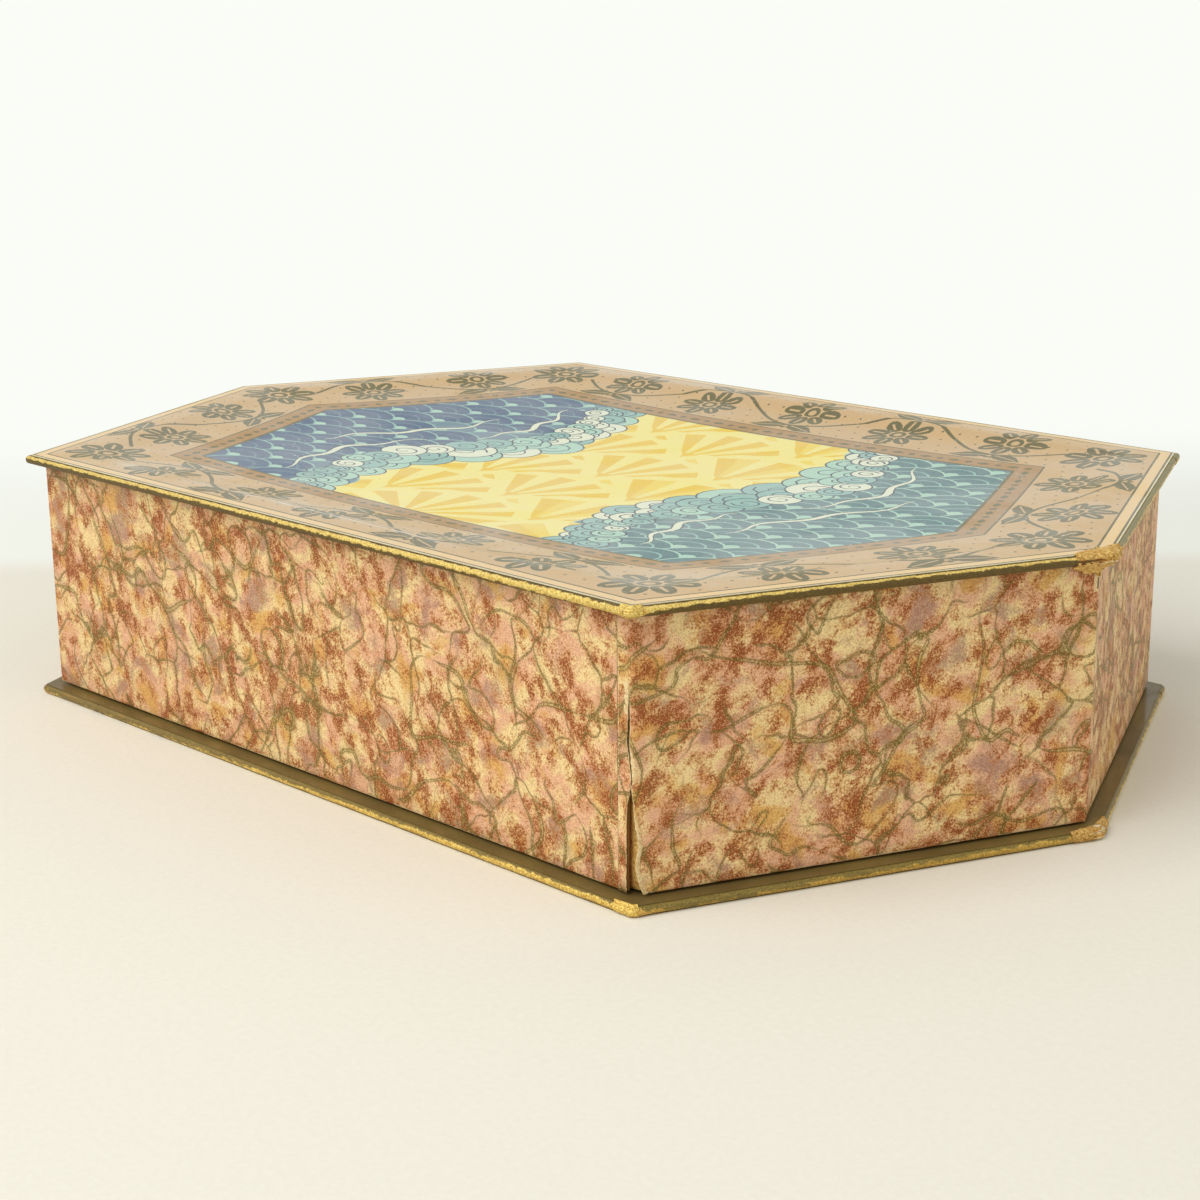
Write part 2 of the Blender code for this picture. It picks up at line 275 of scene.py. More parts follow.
world = bpy.data.worlds.new("studio")
bpy.context.scene.world = world
world.use_nodes = True
air = world.node_tree
soft = air.nodes["Background"]
soft.inputs["Color"].default_value = (0.98, 0.98, 0.94, 1.0)
soft.inputs["Strength"].default_value = 0.56
plain = air.nodes.new("ShaderNodeBackground")
plain.inputs["Color"].default_value = BACKDROP
chosen = air.nodes.new("ShaderNodeMixShader")
air.links.new(pale_rays(air), chosen.inputs[0])
air.links.new(soft.outputs[0], chosen.inputs[1])
air.links.new(plain.outputs[0], chosen.inputs[2])
air.links.new(chosen.outputs[0], air.nodes["World Output"].inputs["Surface"])


def lamp(name, azimuth_deg, elevation_deg, away, size, power, colour):
    turn, rise = math.radians(azimuth_deg), math.radians(elevation_deg)
    way = Vector((math.sin(turn) * math.cos(rise), -math.cos(turn) * math.cos(rise),
                  math.sin(rise)))
    light = bpy.data.lights.new(name, "AREA")
    light.size = size
    light.energy = power
    light.color = colour
    made = bpy.data.objects.new(name, light)
    made.location = way * away
    made.rotation_euler = way.to_track_quat("Z", "Y").to_euler()
    bpy.context.scene.collection.objects.link(made)


lamp("window", -8.0, 48.0, 1.6, 1.3, 15.0, (1.0, 0.98, 0.95))
lamp("fill", 95.0, 35.0, 1.8, 1.6, 2.5, (1.0, 0.90, 0.74))
bpy.context.scene.view_settings.view_transform = "Standard"

# %% [markdown]
# ## Paper and board
# Under the coloured papers the box is raw straw board, stayed at the corners with brown gummed
# tape and lined with off-white paper. None of it is one flat colour: board shows fibres and
# flecks of straw, tape a laid grain, and lining paper turns browner in patches with age.


# %% Finishes of the boards, tape and linings
def fibrous(name, light, dark, fleck, grain, drawn, roughness, bump):
    """A fibrous stock: long pale and dark fibres over cloudy patches, with a few flecks."""
    finish = Finish(name, roughness=roughness, specular=0.25)
    fibres = finish.noise(grain, 4.0, 0.65, place=finish.stretch(drawn))
    clouds = finish.noise(14.0, 3.0)
    colour = finish.mix(finish.step(clouds, 0.3, 0.7), shade(light), shade(dark))
    colour = finish.mix(finish.step(fibres, 0.45, 0.75, 0.55), colour, shade(fleck))
    specks = finish.noise(0.7, 2.0, 0.7, place=finish.shift(finish.mm, (31.0, 7.0, 3.0)))
    colour = finish.mix(finish.step(specks, 0.68, 0.78, 0.7), colour, shade(fleck))
    return finish.done(colour, fibres, bump)


straw_board = fibrous("straw_board", "#b98f52", "#a57c43", "#76542a", grain=0.8,
                      drawn=(1.0, 1.0, 0.4), roughness=0.9, bump=0.12)
gummed_tape = fibrous("gummed_tape", "#b07a35", "#9a6629", "#7a4d1e", grain=0.6,
                      drawn=(1.0, 1.0, 2.8), roughness=0.7, bump=0.06)
lining_paper = fibrous("lining_paper", "#e9e2d0", "#e1d7bd", "#c8b388", grain=0.5,
                       drawn=(1.0, 1.0, 1.0), roughness=0.6, bump=0.03)
print("board, tape and lining mixed")

# %% [markdown]
# ## Olive paper
# The flange round the foot is a smooth dark olive-brown paper with a satin face. It is rubbed
# thin in places, and a few short white scratches show its core.


# %% Olive paper
def olive_paper_finish():
    finish = Finish("olive_paper", roughness=0.6, specular=0.12)
    clouds = finish.noise(22.0, 3.0)
    rubbing = finish.noise(0.9, 4.0, 0.6, place=finish.stretch((4.0, 4.0, 1.0)))
    colour = finish.mix(finish.step(clouds, 0.3, 0.7), shade("#806d3e"), shade("#6d5c35"))
    colour = finish.mix(finish.step(rubbing, 0.55, 0.8, 0.45), colour, shade("#86754a"))
    scratches = finish.noise(1.3, 1.0, place=finish.stretch((2.0, 0.7, 1.0), (0, 0, 0.5)))
    colour = finish.mix(finish.step(scratches, 0.83, 0.86), colour, shade("#d8d3c0"))
    return finish.done(colour, rubbing, 0.02, finish.step(clouds, 0.2, 0.8, 0.5))


olive_paper = olive_paper_finish()
print(len(olive_paper.node_tree.nodes), "nodes in the olive paper")

# %% [markdown]
# ## Gilt edging
# Both boards are bound with strips of gilt paper. Fresh it was bright brass; now it is tarnished
# olive, with bright gold left where hands polish it and ochre paper where the gilt has gone.
# Each strip carries two painted values: "round", which runs from its top fold to its bottom
# fold, and "wear", which is high on arrises and corners. Noise breaks up their borders. Where
# hands have polished a strip, its round values are drawn together, so that more of it is bright.


# %% Gilt finish
def gilt_finish(name, bright_low, bright_high, tarnish, dull, bright, patina):
    """Gilt runs from dull to bright where round lies between the two values. Elsewhere it runs
    from tarnish to patina."""
    finish = Finish(name, roughness=0.45, specular=0.28)
    around, wear = finish.attribute("round"), finish.attribute("wear")
    streaks = finish.noise(2.2, 4.0, 0.65, place=finish.stretch((1.0, 1.0, 0.45)))
    grain = finish.noise(0.45, 3.0, 0.7)
    rough_round = finish.plus(around, finish.math("SUBTRACT", streaks, 0.5), 0.7)
    into = finish.step(rough_round, bright_low - 0.05, bright_low + 0.05)
    out_of = finish.step(rough_round, bright_high + 0.05, bright_high - 0.05)
    shiny = finish.math("MULTIPLY", into, out_of)
    gold = finish.mix(finish.step(grain, 0.35, 0.65), shade(dull), shade(bright))
    old = finish.mix(finish.step(grain, 0.4, 0.7), shade(tarnish), shade(patina))
    colour = finish.mix(shiny, old, gold)
    pits = finish.noise(1.1, 4.0, 0.75, place=finish.shift(finish.mm, (5.0, 50.0, 9.0)))
    spared = finish.math("SUBTRACT", 1.0, finish.math("MULTIPLY", shiny, 0.7))
    pitted = finish.math("MULTIPLY", finish.step(pits, 0.58, 0.66, 0.75), spared)
    colour = finish.mix(pitted, colour, shade("#4d411f"))
    bare = finish.plus(wear, pits, 0.9)
    ochre = finish.mix(finish.step(grain, 0.3, 0.7), shade("#b8862e"), shade("#eecb72"))
    colour = finish.mix(finish.step(bare, 1.02, 1.14), colour, ochre)
    shine = finish.math("MULTIPLY", shiny, 0.3)
    finish.tree.links.new(shine, finish.shader.inputs["Metallic"])
    return finish.done(colour, finish.math("ADD", grain, pits), 0.06)


gilt_lid = gilt_finish("gilt_lid", 0.13, 0.55, tarnish="#58461c", dull="#c49f48",
                       bright="#f4dc86", patina="#745f28")
gilt_far = gilt_finish("gilt_tarnished", 0.40, 0.70, tarnish="#857c52", dull="#b08a3c",
                       bright="#efd078", patina="#958a5a")
gilt_foot = gilt_finish("gilt_foot", 0.40, 1.2, tarnish="#7a6534", dull="#c0963c",
                        bright="#fde07e", patina="#948040")
gilt_foot_right = gilt_finish("gilt_foot_dull", 0.36, 1.2, tarnish="#786730", dull="#987832",
                              bright="#dcb65a", patina="#9c8744")
print("4 gilt papers mixed")

# %% [markdown]
# ## Torn paper
# Where an edge strip has worn through, the glue-soaked paper beneath shows: golden ochre fibres in
# small crumbs. Painted shade makes its hollows brown and its pits dark, and painted highlights pick
# out a few crinkles. Both are painted values, because they follow the folds of the piece; noise
# frays their borders.


# %% Torn paper
def torn_core_finish():
    finish = Finish("torn_core", roughness=0.7, specular=0.3)
    place = finish.warp(2.0, 1.0)
    crumbs = finish.noise(0.7, 4.0, 0.7, place=place)
    clouds = finish.noise(2.4, 2.0, 0.6, place=place)
    colour = finish.mix(finish.step(crumbs, 0.36, 0.62), shade("#b27c2c"), shade("#f0cd7e"))
    colour = finish.mix(finish.step(clouds, 0.52, 0.68, 0.6), colour, shade("#c48a38"))
    ragged = finish.math("SUBTRACT", crumbs, 0.5)
    # Painted shade in hollows and pits: brown, and near black where deepest.
    painted_shade = finish.plus(finish.attribute("painted_shade"), ragged, 1.3)
    colour = finish.mix(finish.step(painted_shade, 0.30, 0.60, 0.9), colour, shade("#96521f"))
    colour = finish.mix(finish.step(painted_shade, 0.80, 1.0, 0.95), colour, shade("#2c1c0a"))
    # Painted highlight: pale along the crinkles.
    painted_highlight = finish.plus(finish.attribute("painted_highlight"), ragged, 0.8)
    colour = finish.mix(finish.step(painted_highlight, 0.45, 0.65), colour, shade("#f8ecca"))
    return finish.done(colour, finish.plus(clouds, crumbs, 0.8), 0.4)


torn_core = torn_core_finish()
print(len(torn_core.node_tree.nodes), "nodes in the torn core")

# %% [markdown]
# ## Fancy paper
# The walls wear a machine-marbled paper: cream and salmon clouds, rust blots that break into fine
# grain, a few mauve patches, and olive veins like wet thread pulled across the sheet. Drawing it
# by hand would never end, so noise does it. Veins are the borders of warped cells and the level
# lines of a slow noise; each is dark at its two edges and lighter along its middle. A sheet's
# pass index moves and turns the pattern, so that no two sheets match.


# %% Fancy paper
def fancy_paper_finish():
    finish = Finish("fancy_paper", roughness=0.5, specular=0.22)
    number = finish.add("ShaderNodeObjectInfo", {}, out="Object Index")
    far_off = finish.add("ShaderNodeCombineXYZ", {0: finish.math("MULTIPLY", number, 13.7),
                                                  1: finish.math("MULTIPLY", number, 5.1),
                                                  2: finish.math("MULTIPLY", number, 9.3)})
    place = finish.shift(finish.mm, far_off)
    turn = finish.add("ShaderNodeCombineXYZ", {1: finish.math("MULTIPLY", number, math.pi / 180)})
    fine = finish.noise(0.60, 3.0, 0.75)
    grain = finish.noise(0.34, 2.0, 0.7)
    ragged = finish.math("SUBTRACT", fine, 0.5)

    # Cream and salmon clouds, and mauve patches
    wander = finish.warp(14.0, 10.0, place)
    clouds = finish.plus(finish.noise(8.0, 3.0, 0.55, place=wander), ragged, 0.25)
    colour = finish.mix(finish.step(clouds, 0.42, 0.58), shade("#f6da9e"), shade("#ebb692"))
    ochre = finish.noise(9.0, 2.0, place=finish.shift(wander, (31.0, 57.0, 11.0)))
    colour = finish.mix(finish.step(finish.plus(ochre, ragged, 0.2), 0.52, 0.66, 0.8), colour,
                        shade("#dea850"))
    mauve = finish.noise(9.0, 2.0, place=finish.shift(wander, (77.0, 13.0, 41.0)))
    colour = finish.mix(finish.step(finish.plus(mauve, ragged, 0.3), 0.51, 0.66, 0.68), colour,
                        shade("#9a7068"))

    # Rust blots, drawn out one way and broken into grain
    drawn = finish.stretch((1.0, 1.0, 1.4), turn, place=finish.warp(6.0, 3.0, place))
    blots = finish.noise(3.4, 3.0, 0.55, place=drawn)
    crowd = finish.noise(15.0, 1.0, place=finish.shift(place, (9.0, 70.0, 21.0)))
    rust = finish.plus(finish.plus(blots, crowd, 0.34), ragged, 0.75)
    colour = finish.mix(finish.step(rust, 0.60, 0.72, 0.60), colour, shade("#c67c40"))
    dots = finish.mix(finish.step(grain, 0.50, 0.66), shade("#8e3e16"), shade("#cc8646"))
    colour = finish.mix(finish.step(rust, 0.70, 0.82, 0.92), colour, dots)

    # Olive veins: the borders of warped cells, and the level lines of a slow noise
    def vein(colour, away, width, seed):
        strength = finish.noise(17.0, 1.0, place=finish.shift(place, (seed, 8.0, 33.0)))
        haze = finish.math("MULTIPLY", finish.step(finish.plus(away, ragged, 4.0), 2.0, 0.0, 0.30),
                           finish.step(strength, 0.50, 0.66))
        colour = finish.mix(haze, colour, shade("#87763c"))
        half = finish.math("MULTIPLY", finish.step(strength, 0.36, 0.66), width)
        edge = finish.plus(finish.plus(away, ragged, 1.5), half, -1.0)
        within = finish.math("MULTIPLY", finish.step(edge, 0.10, -0.20, 0.4),
                             finish.step(edge, -1.5, -0.6))
        tint = finish.mix(finish.step(grain, 0.42, 0.58), shade("#80742f"), shade("#bfa660"))
        colour = finish.mix(within, colour, tint)
        line = finish.math("MULTIPLY", finish.step(finish.math("ABSOLUTE", edge), 0.28, 0.05, 0.80),
                           finish.step(strength, 0.34, 0.50))
        return finish.mix(line, colour, shade("#685a22"))

    def level_lines(size, twist, by):
        here, beside, above = (
            finish.noise(size, 1.0, 0.4, twist, place=finish.stretch(
                (1.0, 1.0, 1.25), turn, finish.shift(place, tuple(map(sum, zip(by, d))))))
            for d in ((0.0, 0.0, 0.0), (0.5, 0.0, 0.0), (0.0, 0.0, 0.5)))
        slope = finish.add("ShaderNodeCombineXYZ", {0: finish.plus(beside, here, -1.0),
                                                    1: finish.plus(above, here, -1.0), 2: 0.002})
        steep = finish.add("ShaderNodeVectorMath", {0: slope}, out="Value", operation="LENGTH")
        off = finish.math("ABSOLUTE", finish.math("SUBTRACT", here, 0.5))
        return finish.math("MULTIPLY", finish.math("DIVIDE", off, steep), 0.5)

    cells = finish.warp(13.0, 11.0, finish.stretch((1.0, 1.0, 1.2), turn, place), detail=2.0)
    colour = vein(colour, finish.cracks(17.0, cells), 0.18, 54.0)
    colour = vein(colour, level_lines(15.0, 0.6, (50.0, 2.0, 8.0)), 0.28, 45.0)
    colour = vein(colour, level_lines(24.0, 0.4, (11.0, 90.0, 5.0)), 0.42, 67.0)

    # Printer's grain over all, bare core where the face is torn or rubbed, painted highlights along
    #     lap edges and the torn lip, and painted shade along seams and gaps
    colour = finish.mix(finish.step(grain, 0.50, 0.36, 0.44), colour, shade("#865423"))
    colour = finish.mix(finish.step(grain, 0.56, 0.68, 0.52), colour, shade("#fadf9c"))
    # Pale core where the face is torn or rubbed; along lap edges and on the torn lip the pale is a
    # painted highlight.
    bare = finish.plus(finish.attribute("bare"), ragged, 1.4)
    core = finish.mix(finish.step(fine, 0.4, 0.6), shade("#d9b67c"), shade("#f0dcae"))
    colour = finish.mix(finish.step(bare, 0.45, 0.65), colour, core)
    # Painted shade: a dark line along lap edges, at the split and in a small hole.
    gap_shade = finish.plus(finish.attribute("gap_shade"), ragged, 0.8)
    colour = finish.mix(finish.step(gap_shade, 0.35, 0.65, 0.85), colour, shade("#4d3c1c"))
    return finish.done(colour, grain, 0.025)


fancy_paper = fancy_paper_finish()
print(len(fancy_paper.node_tree.nodes), "nodes in the fancy paper")

# %% [markdown]
# ## From a drawing to a piece
# Every new piece is a list of points in millimetres and the faces between them. This helper turns
# them into metres, gives the mesh its finishes and painted values, and hands it to the CAD body
# that it moves with. "stand" is where the piece's own coordinates lie. Two more helpers give a
# skin its thickness and join points that fall together.


# %% A helper for pieces
JOIN_WITHIN = 0.00001      # metres


def new_piece(name, spots, faces, finishes, body, stands_for=(), stand=Matrix(), paint=None,
              turns=()):
    """turns says which of the finishes each face wears. Points that no face uses are dropped."""
    used = sorted({number for face in faces for number in face})
    renamed = {number: place for place, number in enumerate(used)}
    home = stand.inverted()
    mesh = bpy.data.meshes.new(name)
    mesh.from_pydata([home @ (Vector(spots[number]) * MM) for number in used], [],
                     [[renamed[number] for number in face] for face in faces])
    for finish in finishes:
        mesh.materials.append(finish)
    for key, values in (paint or {}).items():
        layer = mesh.attributes.new(key, "FLOAT", "POINT")
        layer.data.foreach_set("value", [values[number] for number in used])
    mesh.shade_smooth()
    if turns:
        mesh.polygons.foreach_set("material_index", turns)
    piece = bpy.data.objects.new(name, mesh)
    bpy.context.scene.collection.objects.link(piece)
    piece.matrix_world = stand
    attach(piece, body)
    if stands_for:
        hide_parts(*stands_for)
    return piece


def grid_faces(rows, columns, keep=None):
    """Quads between rows of equal length, row after row."""
    faces = []
    for row in range(rows - 1):
        for column in range(columns - 1):
            if keep is None or keep(row, column):
                first = row * columns + column
                faces.append((first, first + 1, first + 1 + columns, first + columns))
    return faces


def thicken(piece, thickness):
    """Give a skin its thickness, behind its face."""
    layer = piece.modifiers.new("thickness", "SOLIDIFY")
    layer.thickness = thickness * MM
    layer.offset = -1.0


def tidy(piece):
    """Join points that fall together, so that the skin stays one clean surface."""
    weld = piece.modifiers.new("weld", "WELD")
    weld.merge_threshold = JOIN_WITHIN


print("helpers ready")


# %% [markdown]
# ## Wall sheets
# Each wall has its own sheet, folded in under the rim. At each corner one sheet runs 5 mm on
# over its neighbour. A sheet is a grid: its columns run round the box and its rows run down the
# face, round the fold and up inside. Low noise lifts it a little off the board, as paper does
# that has dried over glue. At the near corner the paper has torn just left of the fold. The table
# of tears says how far left and right of the corner the tear's two edges stand at each height.

# %% Wall sheets
WALL_FACE, FLAP_FACE, TRIMMED_FACE, WALL_INSIDE = 4.8, 4.5, 5.3, 8.1
WALL_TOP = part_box("wall_paper_front")[1].z / MM
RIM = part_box("wall_paper_front")[0].z / MM
LAP, TURN_IN, COLUMN_STEP = 5.0, 12.0, 3.5
PLAIN_ROWS, TORN_ROWS = 12, 72
SWELL, FLARE = 0.22, 0.55       # how far a sheet lifts off its board, and a tear's edge curls out
TEARS = ((3.0, 2.4, 2.1), (6.0, 2.4, 0.9), (9.5, 2.35, 0.1), (12.0, 2.3, 0.3), (15.0, 2.3, 0.8),
         (17.5, 2.25, 0.5), (22.0, 2.2, -0.1), (25.0, 1.9, -0.3), (28.3, 1.1, -0.85),
         (30.5, 0.9, -0.5), (36.0, 1.6, -1.1), (39.0, 2.2, -1.4), (43.0, 1.9, -1.1),
         (50.0, 1.55, -1.3), (53.5, 1.45, -1.45), (80.0, 1.45, -1.45))


def tear_at(height):
    """How far left and right of the corner the tear's edges stand, with a little fray."""
    height = max(height, 3.0)
    for (low, *a), (high, *b) in zip(TEARS, TEARS[1:]):
        if low <= height <= high:
            left, right = (x + (y - x) * (height - low) / (high - low) for x, y in zip(a, b))
            fray = 0.5 * min(left + right, 0.5)
            return (left + fray * noise.noise(Vector((7.0, 1.0, height / 1.3))),
                    right + fray * noise.noise(Vector((0.0, 4.0, height / 1.1))))


def soft_step(value, low, high):
    share = min(max((value - low) / (high - low), 0.0), 1.0)
    return share * share * (3 - 2 * share)


def wall_stand(side):
    """A wall's own coordinates: X along it, Y inward, Z up."""
    middle = (corner(side, WALL_FACE) + corner(side + 1, WALL_FACE)) / 2 * MM
    way, into = along(side), inward(side)
    return Matrix(((way.x, into.x, 0, middle.x), (way.y, into.y, 0, middle.y), (0, 0, 1, 0),
                   (0, 0, 0, 1)))


def wall_sheet(name, side, laps_start, laps_end, index, stands_for, torn=""):
    """torn says which end of the sheet the near corner's tear has reached. The lap beyond the tear
    is a piece of its own."""
    length = (corner(side + 1, WALL_FACE) - corner(side, WALL_FACE)).length
    steps = round(length / COLUMN_STEP)
    ends = [0.0, 0.2, 0.45, 0.9]
    stations = ends + [1.8 + (length - 3.6) * n / steps for n in range(steps + 1)]
    stations += [length - u for u in reversed(ends)]
    if torn == "start":
        stations = [n / 4 for n in range(-6, 12)] + [u for u in stations if u > 2.9]
    if torn == "end":
        stations = [u for u in stations if u < length - 9] + [length - 8 + n for n in range(9)]
    flap = [0.2, 1.0, 2.5, LAP - 0.5, LAP - 0.3, LAP - 0.15, LAP]
    if laps_start:
        stations = [-u for u in reversed(flap)] + stations
    if laps_end:
        stations += [length + u for u in flap]
    steps = TORN_ROWS if torn else PLAIN_ROWS
    path = [(0.0, WALL_TOP + (RIM + 0.9 - WALL_TOP) * n / steps) for n in range(steps + 1)]
    outer_rows = len(path)
    across = WALL_INSIDE - WALL_FACE
    path += [(0.0, RIM + 0.4), (0.12, RIM + 0.12), (0.4, RIM), (across - 0.4, RIM),
             (across - 0.12, RIM + 0.12), (across, RIM + 0.4), (across, RIM + TURN_IN)]
    first_face = FLAP_FACE if laps_start or torn == "start" else TRIMMED_FACE
    last_face = FLAP_FACE if laps_end else TRIMMED_FACE
    spots, bare, gap_shade = [], [], []
    for into, height in path:
        start = meet(side, WALL_FACE + into, side - 1, first_face + into)
        end = meet(side, WALL_FACE + into, side + 1, last_face + into)
        left, right = tear_at(height if into == 0 else RIM)
        for u in stations:
            from_edge = 9.0
            if torn == "start" and u < 12:
                from_edge = (u + 1.5) * (12 - right) / 13.5
                u = right + from_edge
            if torn == "end" and u > length - 8 and height < 28:
                u = length - 8 + (u - length + 8) * (8 - left - 0.3) / 8
            if u < 0:
                point = start + u * along(side - 1)
            elif u > length:
                point = end + (u - length) * along(side + 1)
            else:
                point = start.lerp(end, u / length)
            near_corner = min(abs(u), abs(length - u))
            rises = SWELL * soft_step(near_corner, 2.0, 14.0) if into == 0 else 0.0
            rises *= 0.5 + 0.5 * noise.noise(Vector((u / 34, height / 27, side * 7.3)))
            rises -= 0.10 if near_corner < 0.13 else 0.0
            opened = soft_step(left + right, 1.0, 3.0)
            rises += FLARE * opened * soft_step(from_edge, 1.6, 0.2)
            point = point - inward(side) * rises
            spots.append((point.x, point.y, height))
            rubbed = noise.noise(Vector((u / 6, height / 2, side * 3.1)))
            lap_end = max(-u, u - length) - LAP
            # Painted highlight: a pale line just inside each lap's edge. The pale band on the
            # tear's edge is bare core, widened into a painted highlight where the lip curls out.
            bare_core_and_highlight = 0.45 if -0.6 < lap_end < -0.2 else 0.0
            lip = 0.25 + 1.0 * opened * soft_step(height, 20.0, 15.0)
            lip += 0.9 * soft_step(height, 29.5, 31.5) * soft_step(height, 38.0, 35.5)
            if left + right > 0.1:
                bare_core_and_highlight = max(bare_core_and_highlight, 0.9 * soft_step(from_edge, lip + 0.15, lip - 0.2))
            if height < RIM + 0.5 and into < 1:
                bare_core_and_highlight = max(bare_core_and_highlight, 0.5 + 0.7 * rubbed)
            # Painted shade: a dark line on each lap's edge, on the front sheet's end beside the
            # split, and in a small hole near the right corner.
            hole = side == 1 and abs(u - length) < 0.35 and 61.9 < height < 64.4
            bare.append(0.8 if side == 1 and abs(u - length) < 1.2 and 60.5 < height < 66 else bare_core_and_highlight)
            gap_shade.append(1.2 if hole or (torn == "end" and length - u < 4.2)
                        else 0.9 if lap_end > -0.2 else 0.0)
    first = len(flap) if laps_start else 0
    last = len(stations) - 1 - (len(flap) if laps_end else 0)

    def kept(row, column):
        """A lap has no turn-in under the rim."""
        return row < outer_rows - 1 or first <= column < last

    faces = [face[::-1] for face in grid_faces(len(path), len(stations), kept)]
    sheet = new_piece(name, spots, faces, [fancy_paper], "lid", stands_for,
                      wall_stand(side), {"bare": bare, "gap_shade": gap_shade})
    thicken(sheet, PAPER)
    sheet.pass_index = index


PATTERN_TURNS = (155, 45, 120, 20, 80, 145)      # degrees, one for each side
LAPS = {"front": (True, False), "front_right": (False, True), "front_left": (True, False),
        "back_left": (True, False), "back_right": (False, True)}      # at its start, at its end
TORN_ENDS = {"front": "end", "front_right": "start"}
for side, where in enumerate(SIDES):
    laps_start, laps_end = LAPS.get(where, (False, False))
    wall_sheet(f"wall_sheet_{where}", side, laps_start, laps_end, PATTERN_TURNS[side],
               [f"wall_paper_{where}"], TORN_ENDS.get(where, ""))
print("wall sheets run from", round(RIM, 1), "to", round(WALL_TOP, 1), "mm")

# %% [markdown]
# ## The split corner
# The near corner has burst. Above, its sheet still holds; lower down the paper has torn, the ends
# of both boards have sunk back, and a gap widens towards the table. The strip left of the tear
# still sticks to the front wall. Both boards are rebuilt with their ends worn back, so that the
# gap is a real one, with brown tape at its back that comes forward to the right.


# %% The strip left of the tear, the worn boards and the tape
BOARD_FACE, BOARD_BACK = 5.1, 7.5
TAPE_LOW, TAPE_TALL = 3.6, 25.0


def split_strip():
    side, rows = 1, TORN_ROWS
    shares = [0.0, 0.03, 0.06, 0.1, 0.2, 0.4, 0.6, 0.8, 0.9, 1.0]
    start = meet(side, WALL_FACE, side - 1, FLAP_FACE)
    spots, bare, gap_shade = [], [], []
    for row in range(rows + 1):
        height = WALL_TOP + (RIM + 0.2 - WALL_TOP) * row / rows
        left, right = tear_at(height)
        for share in shares:
            u = -LAP + share * (LAP - left)
            curl = 0.22 * soft_step(left + right, 0.2, 2.5) * soft_step(share, 0.5, 1.0)
            point = start + u * along(side - 1) - inward(side - 1) * curl
            spots.append((point.x, point.y, height))
            peeled = soft_step(height, 43.0, 47.0) * soft_step(height, 56.0, 51.0)
            peeled *= soft_step(share, 0.35 + 0.3 * noise.noise(Vector((0, 0, height / 2))), 0.8)
            # Bare core where peeled and along the torn edge; the pale line just right of the seam
            # is a painted highlight.
            bare.append(max(0.75 * peeled, 0.65 if share > 0.95 and left + right > 0.1 else 0.0,
                            0.55 if 0.05 < share < 0.15 else 0.0))
            # Painted shade: a dark line along the seam at the strip's left edge.
            gap_shade.append(1.1 if share < 0.05 else 0.0)
    faces = [face[::-1] for face in grid_faces(rows + 1, len(shares))]
    strip = new_piece("split_strip", spots, faces, [fancy_paper], "lid", (),
                      wall_stand(side), {"bare": bare, "gap_shade": gap_shade})
    thicken(strip, PAPER)
    strip.pass_index = PATTERN_TURNS[side]


def worn_board(side, worn_end):
    """A wall's board. Its end at the near corner is worn back where the corner has opened."""
    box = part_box(f"lid_wall_{SIDES[side]}")
    low, high = box[0].z / MM, box[1].z / MM
    rows = 24
    spots, faces = [], []
    for row in range(rows + 1):
        height = low + (high - low) * row / rows
        left, right = tear_at(height)
        sunk = max(right, 0.0) + 0.3 if worn_end == "start" else left - 0.2
        sunk = sunk + 0.2 * noise.noise(Vector((height / 2, 3.0, side))) if height < 28 else 0.0
        for inset, start in ((BOARD_FACE, True), (BOARD_FACE, False), (BOARD_BACK, False),
                             (BOARD_BACK, True)):
            way = along(side) if start else -along(side)
            point = corner(side if start else side + 1, inset) + 0.15 * way
            if start == (worn_end == "start"):
                point = point + sunk * way
            spots.append((point.x, point.y, height))
    for row in range(rows):
        for n in range(4):
            a, b = row * 4 + n, row * 4 + (n + 1) % 4
            faces.append((a, b, b + 4, a + 4))
    faces += [(3, 2, 1, 0), tuple(rows * 4 + n for n in range(4))]
    board = new_piece(f"worn_board_{SIDES[side]}", spots, faces, [straw_board], "lid",
                      [f"lid_wall_{SIDES[side]}"], wall_stand(side))
    board.data.shade_flat()


def split_tape():
    """Tape and board fibre in the gap, deep on its left and near the face on its right. Painted
    shade darkens its deep left.
    """
    rows, columns = 40, 9
    spots, painted_shade = [], []
    for row in range(rows + 1):
        height = TAPE_LOW + TAPE_TALL * row / rows
        left, right = tear_at(height)
        deep = corner(1, WALL_FACE + 1.9) - (left + 0.6) * along(0)
        lip = corner(1, WALL_FACE + 0.35) + (right + 0.6) * along(1)
        for column in range(columns):
            share = column / (columns - 1)
            fray = 0.35 * noise.noise(Vector((share * 4.0, height / 1.3, 2.0)))
            point = deep.lerp(lip, share) + inward(1) * (fray * (1 - 0.7 * share))
            spots.append((point.x, point.y, height))
            # Painted shade, darkest at the deep left of the gap.
            painted_shade.append(0.75 - 1.1 * share)
    tape = new_piece("split_tape", spots, grid_faces(rows + 1, columns), [torn_core], "lid",
                     (), wall_stand(1), {"painted_shade": painted_shade})
    thicken(tape, THICK_PAPER)


split_strip()
worn_board(0, "end")
worn_board(1, "start")
split_tape()
print("the split opens to", round(sum(tear_at(3.3)), 1), "mm at the rim")

# %% [markdown]
# ## Gilt strips
# A bookbinder would edge a board like this: a narrow strip is folded over the edge, runs on
# 7.5 mm round the corner, and the next side's strip is pasted over it. Here the strips are swept: a
# profile that rolls round the board's edge is carried along the side, with a little noise for the
# uneven paste. Round a corner the profile swings on an arc, so that the fold stays smooth.

